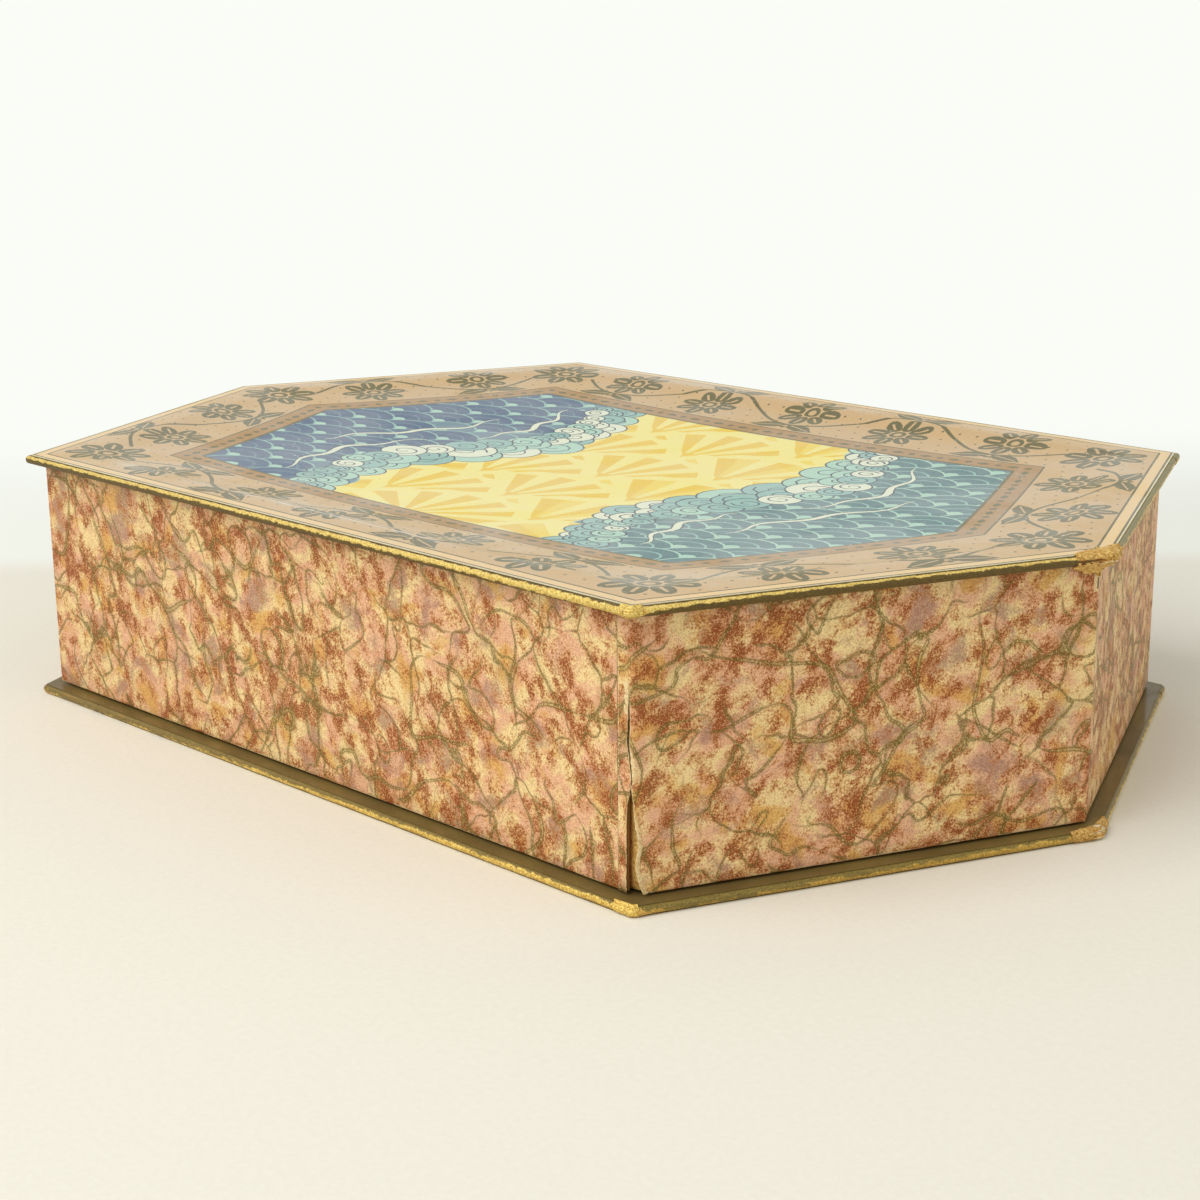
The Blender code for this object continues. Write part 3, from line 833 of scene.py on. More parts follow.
# %% Sweep along a side
STRIP_LAP, SHORT_LAP, STUB_LAP, STRIP_STEP, LAP_STEP = 7.5, 5.0, 0.6, 2.6, 1.2
PROUD = 0.16             # how far a strip stands out where it lies over its neighbour
FOLD_PROFILE = ((2.6, 1.0, -0.2), (1.5, 1.0, -0.05), (0.95, 1.0, 0.06), (0.6, 0.97, 0.16),
                (0.3, 0.86, 0.28), (0.1, 0.7, 0.38), (0.0, 0.5, 0.5), (0.1, 0.3, 0.62),
                (0.3, 0.14, 0.72), (0.6, 0.03, 0.84), (0.95, 0.0, 0.94), (1.6, 0.0, 1.05),
                (3.2, 0.0, 1.1), (6.0, 0.0, 1.2))      # inset, share of height, round


def swing(number, inset, radius, share):
    """A point on the arc round a corner, from the side before it (0) to the side after it (1)."""
    hub = corner(number, radius)
    start, end = -inward(number - 1), -inward(number)
    turned = start.angle_signed(end) * share
    way = Vector((start.x * math.cos(turned) + start.y * math.sin(turned),
                  start.y * math.cos(turned) - start.x * math.sin(turned)))
    return hub + way * (radius - inset) if inset < radius else corner(number, inset)


def sweep_stops(side, lap):
    """Stops along a strip: (which part, how far), from its lap round the corner to its end."""
    length = (OUTLINE[(side + 1) % 6] - OUTLINE[side]).length
    count = max(round(lap / LAP_STEP), 2)
    stops = [("before", lap * (1 - n / count)) for n in range(count)]
    stops += [("arc", n / 4) for n in range(5)]
    count = round(length / STRIP_STEP)
    stops += [("side", length * n / count) for n in range(1, count)]
    return stops + [("end", n / 4) for n in range(3)]


def sweep_point(side, stop, inset, blunt_start, blunt_end):
    part, value = stop
    if part == "arc":
        return swing(side, inset, blunt_start, value)
    if part == "end":
        return swing(side + 1, inset, blunt_end, value)
    on = side - 1 if part == "before" else side
    first = meet(on, inset, on - 1, max(inset, blunt_end if part == "before" else blunt_start))
    last = meet(on, inset, on + 1, max(inset, blunt_start if part == "before" else blunt_end))
    foot = OUTLINE[on % 6] + inset * inward(on)
    reach = value
    if part == "before":
        reach = (OUTLINE[(on + 1) % 6] - OUTLINE[on % 6]).length - value
    low, high = (first - foot).dot(along(on)), (last - foot).dot(along(on))
    return foot + min(max(reach, low), high) * along(on)


print(len(FOLD_PROFILE), "points in a strip's profile")

# %% [markdown]
# The near corner and the right end are worn most. A strip's wear value rises towards each
# corner and, in soft patches, along the bottom fold. Its round values are multiplied by a tarnish
# that is low, so bright, beside the near corner and higher further off.


# %% Lay the strips
def lid_tarnish(side, run, length):
    return {0: 1.50 - 1.00 * math.exp((run - length) / 80),
            1: 1.75 - 1.1 * math.exp(-max(run, 0.0) / 14),
            5: 1.25}.get(side, 1.0)


def foot_tarnish(side, run, length):
    patchy = 0.25 * noise.noise(Vector((run / 11, 5, 0)))
    return {0: 0.55 + 0.75 * soft_step(run, 20.0, length) + patchy,
            1: 0.52 + 0.55 * soft_step(run, 5.0, length) + 1.3 * patchy}.get(side, 1.0)


def gilt_strip(name, side, low, high, body, finish, stands_for, blunt, tarnish, lap, worn,
               foot_worn=0.0):
    """blunt holds the corners' radii, worn their rubbing, and foot_worn the bottom fold's."""
    blunt_start, blunt_end = blunt[side], blunt[(side + 1) % 6]
    stops = sweep_stops(side, lap)
    length = (OUTLINE[(side + 1) % 6] - OUTLINE[side]).length
    spots, turned, wear = [], [], []
    for stop in stops:
        part, value = stop
        run = {"before": -value, "arc": 0.0, "side": value, "end": length}[part]
        near = min(abs(run), abs(length - run))
        proud = PROUD if part == "before" else PROUD * (1 - soft_step(run, 0.0, 9.0))
        seed = Vector((run / 9, side * 5.0, low / 3))
        swell = 0.10 * noise.noise(seed) + 0.05 * noise.noise(seed * 4)
        dent = 0.35 * worn * (1 - soft_step(near, 0.0, 5.0)) * noise.noise(Vector((run, side, low)))
        for inset, share, around in FOLD_PROFILE:
            edge = sweep_point(side, stop, inset, blunt_start, blunt_end)
            middle = sweep_point(side, stop, 6.0, blunt_start, blunt_end)
            out = (edge - middle).normalized() if (edge - middle).length > 0.01 else Vector((0, 0))
            face = 1 - soft_step(inset, 0.3, 1.0)
            edge = edge + out * face * (proud + swell - 0.1 + dent)
            height = low + (high - low) * share + (share - 0.5) * proud * 0.8
            height += 0.08 * noise.noise(seed * 2 + Vector((0, 0, 9))) * face
            spots.append((edge.x, edge.y, height))
            turned.append(around * tarnish(side, run, length))
            rubbed = 0.12 + 0.25 * noise.noise(Vector((run / 5, around * 3, side * 2.0 + low)))
            rubbed += worn * (1 - soft_step(near, 1.0, 7.0)) * face
            rubbed += foot_worn * soft_step(around, 0.45, 0.75)
            wear.append(rubbed)
    faces = grid_faces(len(stops), len(FOLD_PROFILE))
    strip = new_piece(name, spots, faces, [finish], body, stands_for,
                      paint={"round": turned, "wear": wear})
    tidy(strip)
    thicken(strip, PAPER)


LID_BLUNT, BASE_BLUNT = (1.0, 1.9, 1.2, 0.9, 1.0, 1.2), (1.2, 1.8, 2.2, 1.0, 1.2, 1.4)
for side, where in enumerate(SIDES):
    dull = where == "front_right"
    gilt_strip(f"lid_strip_{where}", side, lid_bottom, lid_top, "lid",
               gilt_lid if where.startswith("front") else gilt_far,
               [f"lid_edging_{where}"], LID_BLUNT, lid_tarnish,
               lap=STUB_LAP if where == "back_right" else STRIP_LAP,
               worn=0.9 if where.endswith("right") else 0.3)
    gilt_strip(f"base_strip_{where}", side, base_bottom, base_top, "base",
               gilt_foot_right if dull else gilt_foot,
               [f"base_edging_{where}"], BASE_BLUNT, foot_tarnish,
               lap=SHORT_LAP if dull else STRIP_LAP, worn=0.8 if dull else 0.35,
               foot_worn=0.35)
print("12 strips laid")

# %% [markdown]
# The near corner and the right end have lost their gilt, above and below. Each patch is a crumpled
# skin: it starts on top of the board, where its edge wanders inward round the corner, bulges, rolls
# over the edge and ends in an uneven hem. At the right end of the lid painted shade runs brown
# along its groove, with a painted highlight line beside it, and the hem hangs down to the wall.
# Below it, the base's own patch has painted shade in its folds and painted highlight gleams
# instead.

# %% Worn corners
LEAST_HEM = 0.55      # the share of its profile that a patch covers at its ends
BEAD = ((0.8, 1.06), (0.3, 0.95), (0.0, 0.62), (0.05, 0.3), (0.4, 0.02), (1.4, -0.04))
HANGING = ((0.8, 1.10), (0.3, 0.98), (0.02, 0.74), (0.4, 0.46), (0.05, 0.2), (0.5, -0.06),
           (1.3, -0.30), (2.4, -0.62), (3.5, -1.0), (4.3, -1.45), (4.45, -2.0))


def along_profile(profile, share):
    at = min(share, 0.9999) * (len(profile) - 1)
    n = int(at)
    (a, b), (c, d) = profile[n], profile[n + 1]
    return a + (c - a) * (at - n), b + (d - b) * (at - n)


def worn_corner(name, number, before, after, low, high, body, finish, blunt, profile=BEAD,
                crumple=0.3, proud=0.2, inward_by=1.6, bead_shade_and_glint=0.0, around=0.3,
                fold_shade_and_gleam=0.0):
    """before and after are the patch's reach along the two sides, and inward_by its reach over the
    top. bead_shade_and_glint paints shade along one groove and a highlight line beside it, and
    fold_shade_and_gleam paints shade in folds and highlight gleams."""
    stops = [("before", before * (1 - n / 18)) for n in range(18)]
    stops += [("arc", n / 6) for n in range(7)] + [("side", after * n / 12) for n in range(1, 13)]
    top_rows, rows = 6, 34
    spots, turned, wear, painted_shade, painted_highlight = [], [], [], [], []
    for order, stop in enumerate(stops):
        part, value = stop
        run = {"before": -value, "arc": 0.0, "side": value}[part]
        swell = math.sin(math.pi * (order + 0.5) / len(stops)) ** 0.6
        ragged = noise.noise(Vector((run / 1.4, number * 3.0, low)))
        hem = LEAST_HEM + (1.0 - LEAST_HEM) * swell
        ends_at = min(max(hem * (1 + 0.12 * ragged), 0.3), 1.0)
        reach = 1.0 + (inward_by - 1.0) * swell * (1 + 0.35 * ragged)
        for row in range(top_rows + rows):
            if row < top_rows:
                inset = reach + (profile[0][0] - reach) * row / top_rows
                rise = 1.22 + 0.14 * math.sin(math.pi * row / top_rows) * min(reach / 3, 1.0)
            else:
                inset, rise = along_profile(profile, ends_at * (row - top_rows) / (rows - 1))
            edge = sweep_point(number, stop, inset, blunt[number], blunt[(number + 1) % 6])
            middle = sweep_point(number, stop, 9.0, blunt[number], blunt[(number + 1) % 6])
            out = (edge - middle).normalized()
            seed = Vector((run / 1.7, row / 3.6, number * 2.0 + low))
            rough = crumple * (noise.noise(seed) + 0.5 * noise.noise(seed * 2.3))
            on_face = soft_step(row, top_rows - 3, top_rows + 4)
            edge = edge + out * on_face * (proud * (0.4 + 0.6 * swell) + rough)
            height = low + (high - low) * rise + 0.4 * rough * min(row / 2, 1)
            spots.append((edge.x, edge.y, height))
            turned.append(around)
            wear.append(0.45 + 0.4 * noise.noise(seed * 0.7))
            share = (row - top_rows) / (rows - 1) * ends_at
            sway = 0.04 * noise.noise(Vector((run / 2.5, 3.0, low)))
            # Painted shade: brown along the groove at the bead's foot, near black in pits, and
            # brown in folds.
            bead_foot_shade = soft_step(abs(share - 0.29 + sway), 0.09, 0.03)
            hole_shade = soft_step(abs(share - 0.40 + sway), 0.05, 0.02) * soft_step(run, -3.0, -5.0)
            hole_shade *= soft_step(noise.noise(Vector((run / 1.1, 8.0, low))), -0.1, 0.2)
            folds = soft_step(abs(noise.noise(seed * 0.8)), 0.10, 0.02)
            painted_shade.append(bead_shade_and_glint * (0.62 * bead_foot_shade + 1.3 * hole_shade) + 0.5 * fold_shade_and_gleam * folds)
            # Painted highlights: a pale line beside the groove at the lid's right end, and gleams
            # near the corner.
            line = soft_step(abs(share - 0.42 + 2 * sway), 0.035, 0.01)
            line = bead_shade_and_glint * line * soft_step(run, -6.0, -4.0) * soft_step(run, 4.0, 2.0)
            gleam = soft_step(abs(run), 3.6, 1.2) * soft_step(noise.noise(seed * 0.7), -0.1, 0.15)
            painted_highlight.append(line + 0.8 * fold_shade_and_gleam * gleam)
    faces = grid_faces(len(stops), top_rows + rows)
    patch = new_piece(name, spots, faces, [finish], body,
                      paint={"round": turned, "wear": wear, "painted_shade": painted_shade, "painted_highlight": painted_highlight})
    tidy(patch)
    thicken(patch, THICK_PAPER)


worn_corner("torn_lid_right_end", 2, 11.0, 7.0, lid_bottom, lid_top, "lid", torn_core, LID_BLUNT,
            HANGING, crumple=0.4, proud=0.25, inward_by=5.2, bead_shade_and_glint=1.0)
worn_corner("worn_lid_front_right", 1, 3.6, 3.2, lid_bottom, lid_top, "lid", gilt_lid, LID_BLUNT,
            crumple=0.3, proud=0.35, inward_by=1.2)
worn_corner("torn_base_right_end", 2, 8.5, 8.5, base_bottom, base_top, "base", torn_core,
            BASE_BLUNT, crumple=0.45, proud=0.4, inward_by=2.8, fold_shade_and_gleam=1.0)
worn_corner("worn_base_front_right", 1, 6.0, 2.0, base_bottom, base_top, "base", gilt_foot,
            BASE_BLUNT, crumple=0.2, proud=0.12, around=0.8)
print("4 worn corners")

# %% [markdown]
# ## The printed sheet: inks
# The lid's paper was printed in a few flat inks. Each ink is one finish from the same recipe:
# cloudy wear, the fine grain of litho printing, small white flecks, and rubbed places near the
# front edge. A double crease runs along part of the front, a little inside the wall below.


# %% Printing inks
CREASES, CREASE_MIDDLE, CREASE_REACH = (-100.4, -98.9), 2.5, 33.0


def print_ink(name, code, faded, grain_code, speckle=0.0):
    finish = Finish(f"ink_{name}", roughness=0.42, specular=0.18)
    x, y = finish.axis("X"), finish.axis("Y")
    clouds = finish.noise(24.0, 3.0, 0.6)
    grain = finish.noise(0.32, 2.0, 0.7)
    colour = finish.mix(finish.step(clouds, 0.35, 0.70, 0.5), shade(code), shade(faded))
    colour = finish.mix(finish.step(grain, 0.46, 0.66, 0.30), colour, shade(grain_code))
    if speckle:
        dots = finish.noise(0.9, 2.0, 0.6, place=finish.shift(finish.mm, (40.0, 3.0, 0.0)))
        colour = finish.mix(finish.step(dots, 0.56, 0.64, speckle), colour, shade(grain_code))

    # White flecks, and paper rubbed bare near the front
    flecks = finish.noise(1.0, 1.0, 0.5, place=finish.shift(finish.mm, (9.0, 31.0, 0.0)))
    where = finish.noise(30.0, 1.0, place=finish.shift(finish.mm, (71.0, 5.0, 0.0)))
    fleck = finish.math("MULTIPLY", finish.step(flecks, 0.735, 0.775),
                        finish.step(where, 0.45, 0.6))
    colour = finish.mix(fleck, colour, shade("#f4efe2"))
    scuffs = finish.noise(2.2, 4.0, 0.7, place=finish.stretch((3.0, 1.0, 1.0)))
    near_front = finish.step(y, -88.0, -108.0)
    scuff = finish.math("MULTIPLY", finish.step(scuffs, 0.60, 0.72, 0.45), near_front)
    colour = finish.mix(scuff, colour, shade("#e9dfc9"))

    # The double crease
    sway = finish.math("SUBTRACT", finish.noise(3.0, 3.0, 0.6), 0.5)
    wobbly = finish.plus(y, sway, 0.7)
    off_middle = finish.math("ABSOLUTE", finish.math("SUBTRACT", x, CREASE_MIDDLE))
    past = finish.math("SUBTRACT", off_middle, CREASE_REACH)
    fading = finish.math("MULTIPLY", finish.step(past, 14.0, -2.0),
                         finish.step(finish.noise(5.0, 2.0), 0.30, 0.46))
    for line in CREASES:
        away = finish.math("ABSOLUTE", finish.math("SUBTRACT", wobbly, line))
        crease = finish.math("MULTIPLY", finish.step(away, 0.34, 0.12, 0.85), fading)
        colour = finish.mix(crease, colour, shade("#f1eadb"))
    return finish.done(colour, grain, 0.012, finish.step(clouds, 0.1, 0.9, 0.5))


INKS = {
    "cut_edge": ("#ece0bc", "#dccc9c", "#c4ae78"), "rule": ("#665c34", "#766c44", "#4f4820"),
    "tan_light": ("#edcb92", "#f2d5a0", "#cba46c"), "tan": ("#d2b07e", "#d8b888", "#a88458"),
    "tan_deep": ("#b08852", "#b89460", "#865e36"), "motif": ("#686036", "#787046", "#524c28"),
    "gold": ("#efc92c", "#f2d248", "#d8ac1c"), "straw": ("#f7e985", "#f7ec9a", "#e6d262"),
    "butter": ("#f4d84c", "#f6e06e", "#deb838"), "navy": ("#4b6384", "#5d718e", "#384866"),
    "cornflower": ("#678396", "#7795a0", "#526c7c"), "steel": ("#5c8086", "#728e90", "#44666e"),
    "sky": ("#90bcb4", "#a2c6bc", "#72a096"), "aqua": ("#aed6c2", "#bcdccc", "#8cbca8"),
    "foam": ("#e6ecd2", "#eef0da", "#c6d2bc"), "outline": ("#303c50", "#444f64", "#20283a")}
ink_names = list(INKS)
inks = [print_ink(name, *INKS[name], speckle=0.6 if name in ("steel", "navy") else 0.0)
        for name in ink_names]
print(len(inks), "inks")

# %% [markdown]
# ## The printed sheet: drawing
# The whole sheet is a design of our own, in tans, yellows and blues. A six-sided panel, drawn
# parallel to the lid's edge, has pleated fans across its middle and fish-scale waves at both
# ends, with a bank of curling cloud between. A vine with rosettes runs round the panel. The sheet
# is drawn like a paper collage: each shape is a polygon with an ink and a zone, laid over those
# before it. Picture shapes print only inside the panel, and border shapes only outside it.

# %% Drawing tools
shapes = []              # (points, ink, zone), in painter's order
PRINT_INSET, GROUND_INSET, PANEL_INSET = 1.4, 2.4, 42.0
PANEL = [corner(number, PANEL_INSET) for number in range(6)]


def ray(angle):
    return Vector((math.cos(angle), math.sin(angle)))


def lay(points, ink, zone):
    """Add a shape, unless it lies off the sheet."""
    middle = sum(points, Vector((0.0, 0.0))) / len(points)
    if min(depth(middle, side) for side in range(6)) > -2.0:
        shapes.append((points, ink, zone))


def disc(centre, radius, ink, zone, count, squeeze=1.0, turn=0.0):
    """A round of so many points. Squeezed it is an oval, and with 4 points a lozenge."""
    spin = Matrix.Rotation(turn, 2)
    lay([centre + spin @ Vector((radius * math.cos(a), radius * squeeze * math.sin(a)))
         for a in (2 * math.pi * n / count for n in range(count))], ink, zone)


def stroke(path, width, ink, zone, taper=0.0):
    """A line of even width, or one that thins towards its end."""
    rails = []
    for n, point in enumerate(path):
        way = (path[min(n + 1, len(path) - 1)] - path[max(n - 1, 0)]).normalized()
        half = width / 2 * (1 - taper * n / (len(path) - 1))
        side = Vector((-way.y, way.x)) * half
        rails.append((point + side, point - side))
    for (a, b), (c, d) in zip(rails, rails[1:]):
        lay([a, b, d, c], ink, zone)


def spiral_path(centre, radius, start, turns, count, squeeze):
    path = []
    for n in range(count + 1):
        share = n / count
        spoke = ray(start + turns * 2 * math.pi * share) * radius * (1 - 0.82 * share)
        path.append(centre + Vector((spoke.x, spoke.y * squeeze)))
    return path


def wedge(centre, inner, outer, start, end, ink, tooth=0.0):
    """One pleat of a fan. A tooth lifts the middle of its outer edge."""
    middle = (start + end) / 2
    lay([centre + ray(start) * inner, centre + ray(end) * inner, centre + ray(end) * outer,
         centre + ray((end + middle) / 2) * (outer + tooth * 0.75),
         centre + ray(middle) * (outer + tooth),
         centre + ray((start + middle) / 2) * (outer + tooth * 0.75),
         centre + ray(start) * outer], ink, "picture")


print("drawing tools ready")

# %% [markdown]
# The sheet's ground comes first: a cream cut edge, a thin olive rule, then bands of tan that
# follow the outline and darken towards the picture, with a fine rule between them.

# %% Ground and ruled bands
LIGHT_BAND_END, VINE_BAND_END, RULE_WIDTH, CUT_EDGE_WIDTH = 5.0, 34.0, 0.6, 0.4
for inset, ink in ((PRINT_INSET, "cut_edge"), (PRINT_INSET + CUT_EDGE_WIDTH, "rule"),
                   (GROUND_INSET, "tan_light"), (LIGHT_BAND_END, "rule"),
                   (LIGHT_BAND_END + RULE_WIDTH, "tan"), (VINE_BAND_END, "rule"),
                   (VINE_BAND_END + RULE_WIDTH, "tan_deep")):
    shapes.append(([corner(number, inset) for number in range(6)], ink, "all"))
print(len(shapes), "ground shapes")

# %% [markdown]
# The border is an old favourite of bookbinders. A vine waves along each side, with a pair of
# leaves and three berries on each crest and a rosette in each hollow. A larger rosette marks each
# corner, and fine dots fill the ground.


# %% Border motifs
def rosette(at, size, turn):
    """Eight petals, each with a pale slit, round a ringed eye."""
    for n in range(8):
        heading = turn + n * math.pi / 4
        way = ray(heading)
        disc(at + way * size * 0.64, size * 0.36, "motif", "border", 12, 0.62, heading)
        stroke([at + way * size * 0.46, at + way * size * 0.84], size * 0.07, "tan", "border")
    for share, ink in ((0.30, "tan"), (0.24, "motif"), (0.12, "tan")):
        disc(at, size * share, ink, "border", 14)


def leaf(at, size, turn):
    """A pointed leaf with a pale midrib."""
    way = ray(turn)
    side = Vector((-way.y, way.x)) * size * 0.2
    lay([at, at + way * size * 0.28 - side, at + way * size * 0.62 - side, at + way * size,
         at + way * size * 0.62 + side, at + way * size * 0.28 + side], "motif", "border")
    stroke([at + way * size * 0.15, at + way * size * 0.85], 0.5, "tan", "border")


def berries(at, turn):
    for n in (-1, 0, 1):
        disc(at + ray(turn + 0.7 * n) * 2.6, 0.9, "motif", "border", 8)


print("rosette, leaf and berries ready")

# %% Dots, then the vine over them
DOT_STEP, DOT, BAND_MARGIN = 6.2, 0.45, 2.0
VINE_INSET, VINE_WIDTH, SWAY, HALF_WAVE = 19.5, 1.1, 9.0, 38.0
ROSETTE, CORNER_ROSETTE, ROSETTE_OFF_VINE, LEAF, LEAF_LEAN = 11.0, 12.5, 3.0, 13.0, 1.25
for row in range(-21, 22):
    for n in range(-32, 33):
        at = Vector(((n + 0.5 * (row % 2)) * DOT_STEP, row * DOT_STEP * math.sqrt(0.75)))
        inset = min(depth(at, side) for side in range(6))
        if LIGHT_BAND_END + BAND_MARGIN < inset < VINE_BAND_END - BAND_MARGIN:
            disc(at, DOT, "rule", "border", 6)


def vine_point(start, end, number, waves, share):
    return start.lerp(end, share) + inward(number) * SWAY * math.sin(math.pi * waves * share)


for number in range(6):
    start = corner(number, VINE_INSET) + along(number) * CORNER_ROSETTE
    end = corner(number + 1, VINE_INSET) - along(number) * CORNER_ROSETTE
    waves = round((end - start).length / HALF_WAVE)
    stroke([vine_point(start, end, number, waves, n / (12 * waves))
            for n in range(12 * waves + 1)], VINE_WIDTH, "motif", "border")
    for wave in range(waves):
        to_crest = inward(number) * (-1.0) ** wave
        heading = math.atan2(to_crest.y, to_crest.x)
        crest = vine_point(start, end, number, waves, (wave + 0.5) / waves)
        for lean in (-LEAF_LEAN, LEAF_LEAN):
            leaf(crest, LEAF, heading + lean)
        berries(crest, heading)
        rosette(crest - to_crest * (SWAY + ROSETTE_OFF_VINE), ROSETTE, heading)
    heading = math.atan2(along(number).y, along(number).x)
    rosette(corner(number, VINE_INSET), CORNER_ROSETTE, heading)
print(len(shapes), "shapes with the vine")

# %% [markdown]
# A row of beads and lozenges, one after the other, closes the border towards the panel.

# %% Bead row
BEAD_INSET, BEAD_STEP, BEAD_RADIUS, LOZENGE_LENGTH = 38.3, 5.0, 1.1, 4.8
for number in range(6):
    start, end = corner(number, BEAD_INSET), corner(number + 1, BEAD_INSET)
    count = 2 * round((end - start).length / BEAD_STEP / 2)
    for n in range(count):
        if n % 2:
            disc(start.lerp(end, n / count), LOZENGE_LENGTH / 2, "motif", "border", 4, 0.5,
                 math.atan2(along(number).y, along(number).x))
        else:
            disc(start.lerp(end, n / count), BEAD_RADIUS, "motif", "border", 10)
print(len(shapes), "shapes in ground and border")

# %% [markdown]
# Inside the panel the fans come first, far rows before near ones, then the waves at both ends,
# and the cloud bank last. The left shore is the right one, turned half round.


# %% The picture
SHORE, SHORE_SWAY, SHORE_WAVE = 54.0, 8.0, 17.0
FAN_RADIUS, FAN_STEP, FAN_ROW, FANS_TO = 35.0, 58.0, 18.0, 62.0
SCALE_RADIUS, SCALE_STEP, SCALE_ROW, SCALE_CUT = 12.0, 20.0, 8.0, 3.0
WATER_END, WATER_FAR = 76, 130.0      # how far the water's outline runs, past the panel


def shore(y):
    """How far right of the middle the water starts, in plan."""
    return SHORE + SHORE_SWAY * math.sin(y / SHORE_WAVE)


def in_picture(point, slack):
    return min(depth(point, side) for side in range(6)) > PANEL_INSET - slack


def in_water(point):
    return abs(point.x) > shore(math.copysign(1.0, point.x) * point.y) - 1.0


def scale(centre, radius, ink, count):
    """A fish scale. Its lowest part is cut off, since the next row lies over it."""
    low = math.asin(SCALE_CUT / radius)
    lay([centre + ray((math.pi + 2 * low) * n / count - low) * radius for n in range(count + 1)],
        ink, "picture")


def pleated_fan(at, radius, inks_used):
    pleats = 14
    for n in range(pleats):
        start = math.pi * n / pleats
        wedge(at, 0.16 * radius, 0.86 * radius, start, start + math.pi / pleats,
              inks_used[n % len(inks_used)])
    for n in range(pleats // 2):
        start = math.pi * n * 2 / pleats
        wedge(at, 0.86 * radius, 0.93 * radius, start, start + math.pi * 2 / pleats, "straw",
              0.06 * radius)
    disc(at, 0.16 * radius, "gold", "picture", 12)


shapes.append((PANEL, "butter", "picture"))
for row in range(9):
    for n in range(-2, 3):
        at = Vector((n * FAN_STEP + (FAN_STEP / 2 if row % 2 else 0.0), 70.0 - FAN_ROW * row))
        if in_picture(at, 40.0) and abs(at.x) < FANS_TO:
            three_inks = (row + n) % 2
            pleated_fan(at, FAN_RADIUS,
                        ("gold", "straw", "butter") if three_inks else ("straw", "gold"))

for way in (1.0, -1.0):
    water = [Vector((shore(y), y)) * way for y in range(-WATER_END, WATER_END + 4, 4)]
    water += [Vector((WATER_FAR, y)) * way for y in (WATER_END, -WATER_END)]
    shapes.append((water, "cornflower", "picture"))
for row in range(19):
    for n in range(-7, 8):
        at = Vector((n * SCALE_STEP + (SCALE_STEP / 2 if row % 2 else 0.0), 74.0 - SCALE_ROW * row))
        if in_picture(at, 16.0) and in_water(at):
            drift = at.x / 160.0 + 0.35 * noise.noise(Vector((at.x / 30, at.y / 14, 1.0)))
            fill = "navy" if drift < -0.35 else "cornflower" if drift < 0.12 else "steel"
            scale(at, SCALE_RADIUS, "sky" if drift < 0.3 else "aqua", 12)
            scale(at, SCALE_RADIUS - 0.7, fill, 12)
            scale(at, 7.4, "sky" if fill == "steel" else "cornflower", 9)
            scale(at, 6.7, fill, 9)
            disc(at, 2.6, "aqua", "picture", 8)
print(len(shapes), "shapes with the waves")


# %% Cloud bank
CLOUD_LAYERS = ((9.0, 10.5), (3.0, 9.0), (-4.0, 7.0))      # how far before the shore, and radius
FOAM_LINES = ((-58.0, -12.0, 15.0), (2.0, 60.0, 17.0), (-34.0, 26.0, 31.0))  # from, to, offshore
PUFF_STEP = 1.3          # times a puff's radius


def puff(at, radius, turn, ink):
    disc(at, radius, "outline", "picture", 18, 0.92)
    disc(at, radius - 0.55, ink, "picture", 18, 0.92)
    stroke(spiral_path(at, radius * 0.70, turn, 1.3, 14, 0.85), 0.6, "outline", "picture",
           taper=0.3)


rng = random.Random(11)
for way in (1.0, -1.0):
    for layer, (lift, size) in enumerate(CLOUD_LAYERS):
        y = 5.0 * layer - WATER_END
        while y < 80.0:
            swell = 0.6 + 0.4 * math.exp(-((y - 8.0) / 34.0) ** 2) + rng.uniform(-0.12, 0.12)
            radius = size * swell
            lift_here = lift * swell + rng.uniform(-1.5, 1.5)
            puff(Vector((shore(y) - lift_here, y)) * way, radius, rng.uniform(0, 6.3),
                 ("aqua", "foam", "sky")[(layer + int(y)) % 3])
            y += radius * PUFF_STEP
    for start, end, out in FOAM_LINES:
        path = [Vector((shore(y) + out + 1.6 * math.sin(n * 0.9), y)) * way
                for n, y in ((n, start + (end - start) * n / 20) for n in range(21))]
        for width, ink in ((3.2, "outline"), (2.2, "foam")):
            stroke(path[10:], width, ink, "picture", taper=0.85)
            stroke(path[10::-1], width, ink, "picture", taper=0.85)
print(len(shapes), "shapes with the clouds")

# %% Rule round the panel
for number in range(6):
    stroke([PANEL[number], PANEL[(number + 1) % 6]], 1.0, "rule", "all")
print(len(shapes), "shapes in all")

# %% [markdown]
# ## The printed sheet: from shapes to one mesh
# A constrained triangulation cuts all the shapes into one flat net of triangles and remembers
# which shapes cover each one. The last cover gives its ink. The net is then lowered onto the
# packed sheet, which sags by 6.5 mm, and gets a back and a cut edge, so that it is a closed piece
# of paper.

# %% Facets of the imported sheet
packed = nodes["lid_print"].data
packed.calc_loop_triangles()
facets = [t for t in packed.loop_triangles if t.normal.z > 0.5]
tree = BVHTree.FromPolygons([v.co / MM for v in packed.vertices], [t.vertices for t in facets])
fold_spots = [v.co.xy / MM for v in packed.vertices]
fold_edges = sorted({tuple(sorted((t.vertices[a], t.vertices[b])))
                     for t in facets for a, b in ((0, 1), (1, 2), (2, 0))})
print(len(facets), "facets,", len(fold_edges), "folds")


def sheet_height(point):
    """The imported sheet's height at a place, held just inside its edge."""
    held = point.copy()
    for side in range(6):
        short = PRINT_INSET + 0.05 - depth(held, side)
        if short > 0:
            held += inward(side) * short
    return tree.ray_cast(Vector((held.x, held.y, 100.0)), Vector((0, 0, -1)))[0].z


# %% Cut the sheet
NET_STEP, CUT_PRECISION = 6.1, 0.005


def area(points):
    return sum(a.cross(b) for a, b in zip(points, points[1:] + points[:1])) / 2


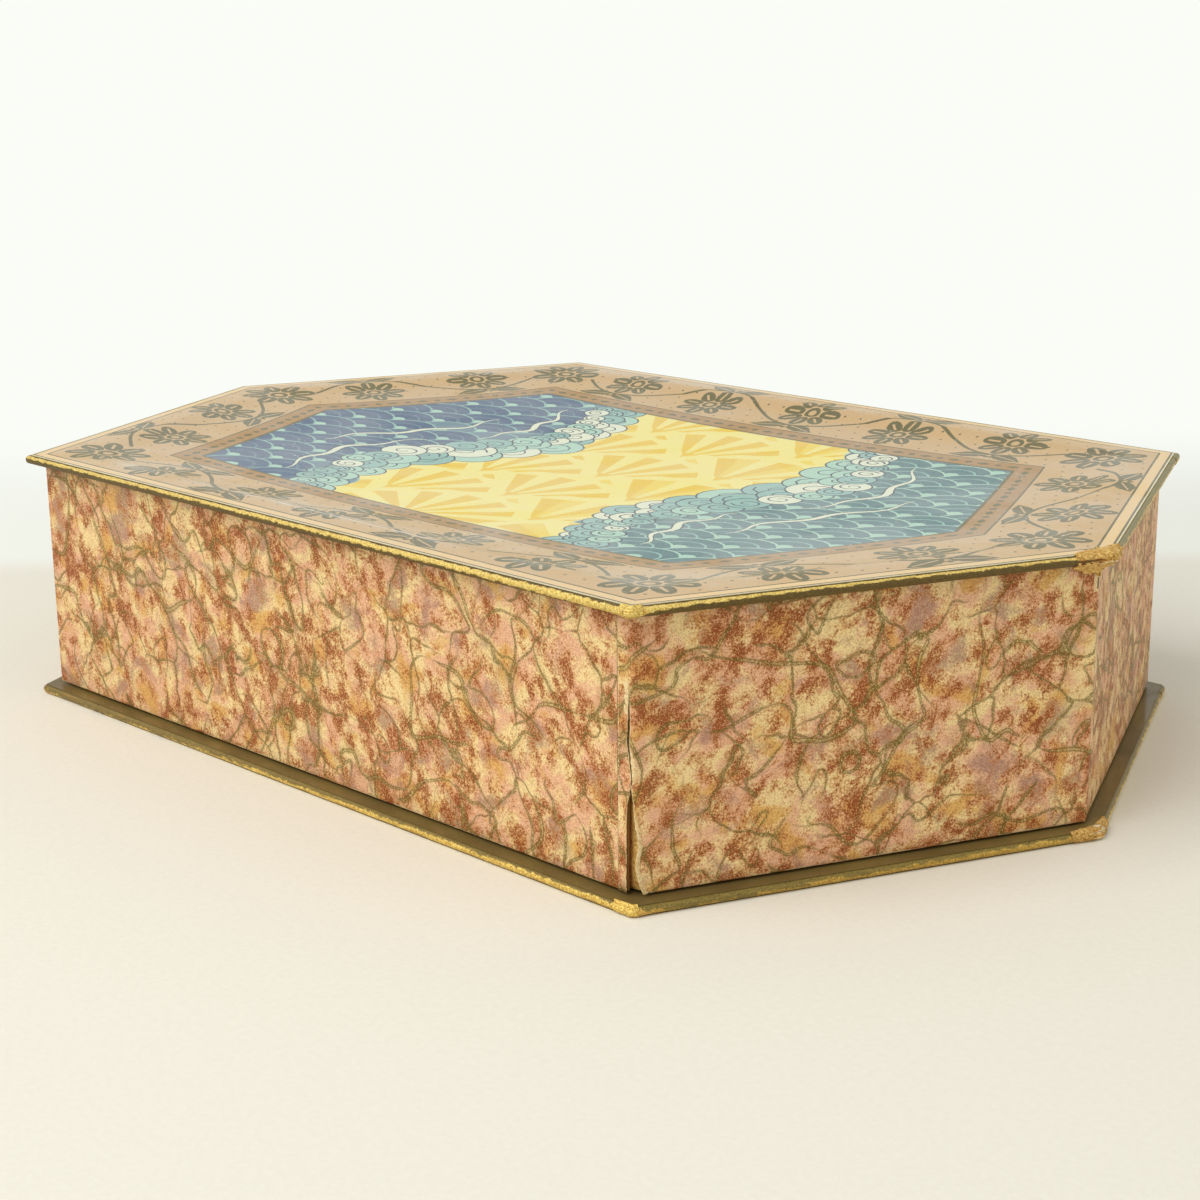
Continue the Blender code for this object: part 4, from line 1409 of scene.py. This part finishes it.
spots, rings = [], []
for points, ink, zone in shapes:
    rings.append(list(range(len(spots), len(spots) + len(points))))
    spots += points if area(points) > 0 else points[::-1]
grid_spots = [Vector((gx * NET_STEP, gy * NET_STEP))
              for gx in range(-27, 28) for gy in range(-18, 19)]
grid_spots = [p for p in grid_spots if min(depth(p, side) for side in range(6)) > 3.0]
first_fold = len(spots) + len(grid_spots)
folds = [(a + first_fold, b + first_fold) for a, b in fold_edges]
flat, _, triangles, _, _, _ = delaunay_2d_cdt(spots + grid_spots + fold_spots, folds, rings, 1,
                                              CUT_PRECISION, True)
flat_x, flat_y = (np.array([p[axis] for p in flat]) for axis in (0, 1))
triangles = np.array(triangles)
middle_x, middle_y = (v[triangles].mean(axis=1) for v in (flat_x, flat_y))


def inside(points, x, y):
    """Which of many places lie in a polygon: each edge to their right turns the answer over."""
    found = np.zeros(len(x), bool)
    for a, b in zip(points, points[1:] + points[:1]):
        if a.y != b.y:
            crosses = ((a.y > y) != (b.y > y)) & (x < a.x + (y - a.y) * (b.x - a.x) / (b.y - a.y))
            found ^= crosses
    return found


order = np.argsort(middle_x)
sorted_x, sorted_y = middle_x[order], middle_y[order]
in_panel = inside(PANEL, sorted_x, sorted_y)
allowed = {"all": np.full(len(order), True), "picture": in_panel, "border": ~in_panel}
sorted_ink = np.full(len(order), -1)
for points, ink, zone in shapes:
    first, last = np.searchsorted(sorted_x, (min(p.x for p in points), max(p.x for p in points)))
    part = slice(first, last)
    hit = inside(points, sorted_x[part], sorted_y[part]) & allowed[zone][part]
    sorted_ink[part][hit] = ink_names.index(ink)
sorted_ink[~inside(shapes[0][0], sorted_x, sorted_y)] = -1
triangle_ink = np.empty(len(order), int)
triangle_ink[order] = sorted_ink
kept = [list(map(int, t)) for t in triangles[triangle_ink >= 0]]
kept_inks = [int(ink) for ink in triangle_ink[triangle_ink >= 0]]
print(len(kept), "triangles")

# %% Lower it onto the lid
used = sorted({n for triangle in kept for n in triangle})
renamed = {n: place for place, n in enumerate(used)}
kept = [[renamed[n] for n in triangle] for triangle in kept]
kept = [t if (flat[used[t[1]]] - flat[used[t[0]]]).cross(flat[used[t[2]]] - flat[used[t[0]]]) > 0
        else t[::-1] for t in kept]
tops = [(flat[n].x, flat[n].y, sheet_height(flat[n])) for n in used]
edges = {way for a, b, c in kept for way in ((a, b), (b, c), (c, a))}
border = sorted(way for way in edges if way[::-1] not in edges)

print(len(border), "border edges")

# %% Give it a back and a cut edge
BACK_PRECISION = 0.0001
follows = dict(border)
loop = [border[0][0]]
while follows[loop[-1]] != loop[0]:
    loop.append(follows[loop[-1]])
rim_count = len(loop)
within = [n for n, p in enumerate(fold_spots)
          if min(depth(p, side) for side in range(6)) > PRINT_INSET + 0.5]
place = {n: rim_count + where for where, n in enumerate(within)}
back_spots = [flat[used[n]] for n in loop] + [fold_spots[n] for n in within]
back_folds = [(place[a], place[b]) for a, b in fold_edges if a in place and b in place]
back_flat, _, back_triangles, _, _, _ = delaunay_2d_cdt(
    back_spots, back_folds, [list(range(rim_count))], 1, BACK_PRECISION, True)
first = len(tops)
backs = [(p.x, p.y, sheet_height(p) - PAPER) for p in back_flat]
sheet_faces = kept + [[n + first for n in t][::-1] for t in back_triangles]
sheet_faces += [(loop[(n + 1) % rim_count], loop[n], first + n, first + (n + 1) % rim_count)
                for n in range(rim_count)]
paper_white = ink_names.index("cut_edge")
sheet_inks = kept_inks + [paper_white] * (len(sheet_faces) - len(kept))
sheet = new_piece("printed_sheet", tops + backs, sheet_faces, inks, "lid",
                  ["lid_print"], turns=sheet_inks)
print(rim_count, "edges round the sheet, lowest point", round(min(p[2] for p in tops), 2), "mm")

# %% [markdown]
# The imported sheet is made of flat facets. Normals taken over a few millimetres let light run over
# the lid without showing them.

# %% Smooth shading over the facets
def sheet_normal(point, reach=4.0):
    rise_x = sheet_height(point + Vector((reach, 0))) - sheet_height(point - Vector((reach, 0)))
    rise_y = sheet_height(point + Vector((0, reach))) - sheet_height(point - Vector((0, reach)))
    return Vector((-rise_x, -rise_y, 2 * reach)).normalized()


up = [sheet_normal(flat[n]) for n in used]
loop_normals = []
for number, face in enumerate(sheet.data.polygons):
    on_top = number < len(kept)
    loop_normals += [up[n] if on_top else face.normal for n in face.vertices]
sheet.data.normals_split_custom_set(loop_normals)
print("sheet has", len(sheet.data.vertices), "points")

# %% [markdown]
# ## What stays as the CAD has it
# Flat boards, corner stays and linings already have their true shape. They keep it and get the
# finish of their material.

# %% Finishes for the other nodes
by_slot = {"straw_board": straw_board, "gummed_tape": gummed_tape, "gilt_paper": gilt_foot,
           "olive_paper": olive_paper, "lining_paper": lining_paper, "fancy_paper": fancy_paper,
           "printed_paper": lining_paper}
for part in frame["record"]["subparts"]:
    mesh = nodes[part["node"]].data
    mesh.materials.clear()
    mesh.materials.append(by_slot[part["material_slot"]])
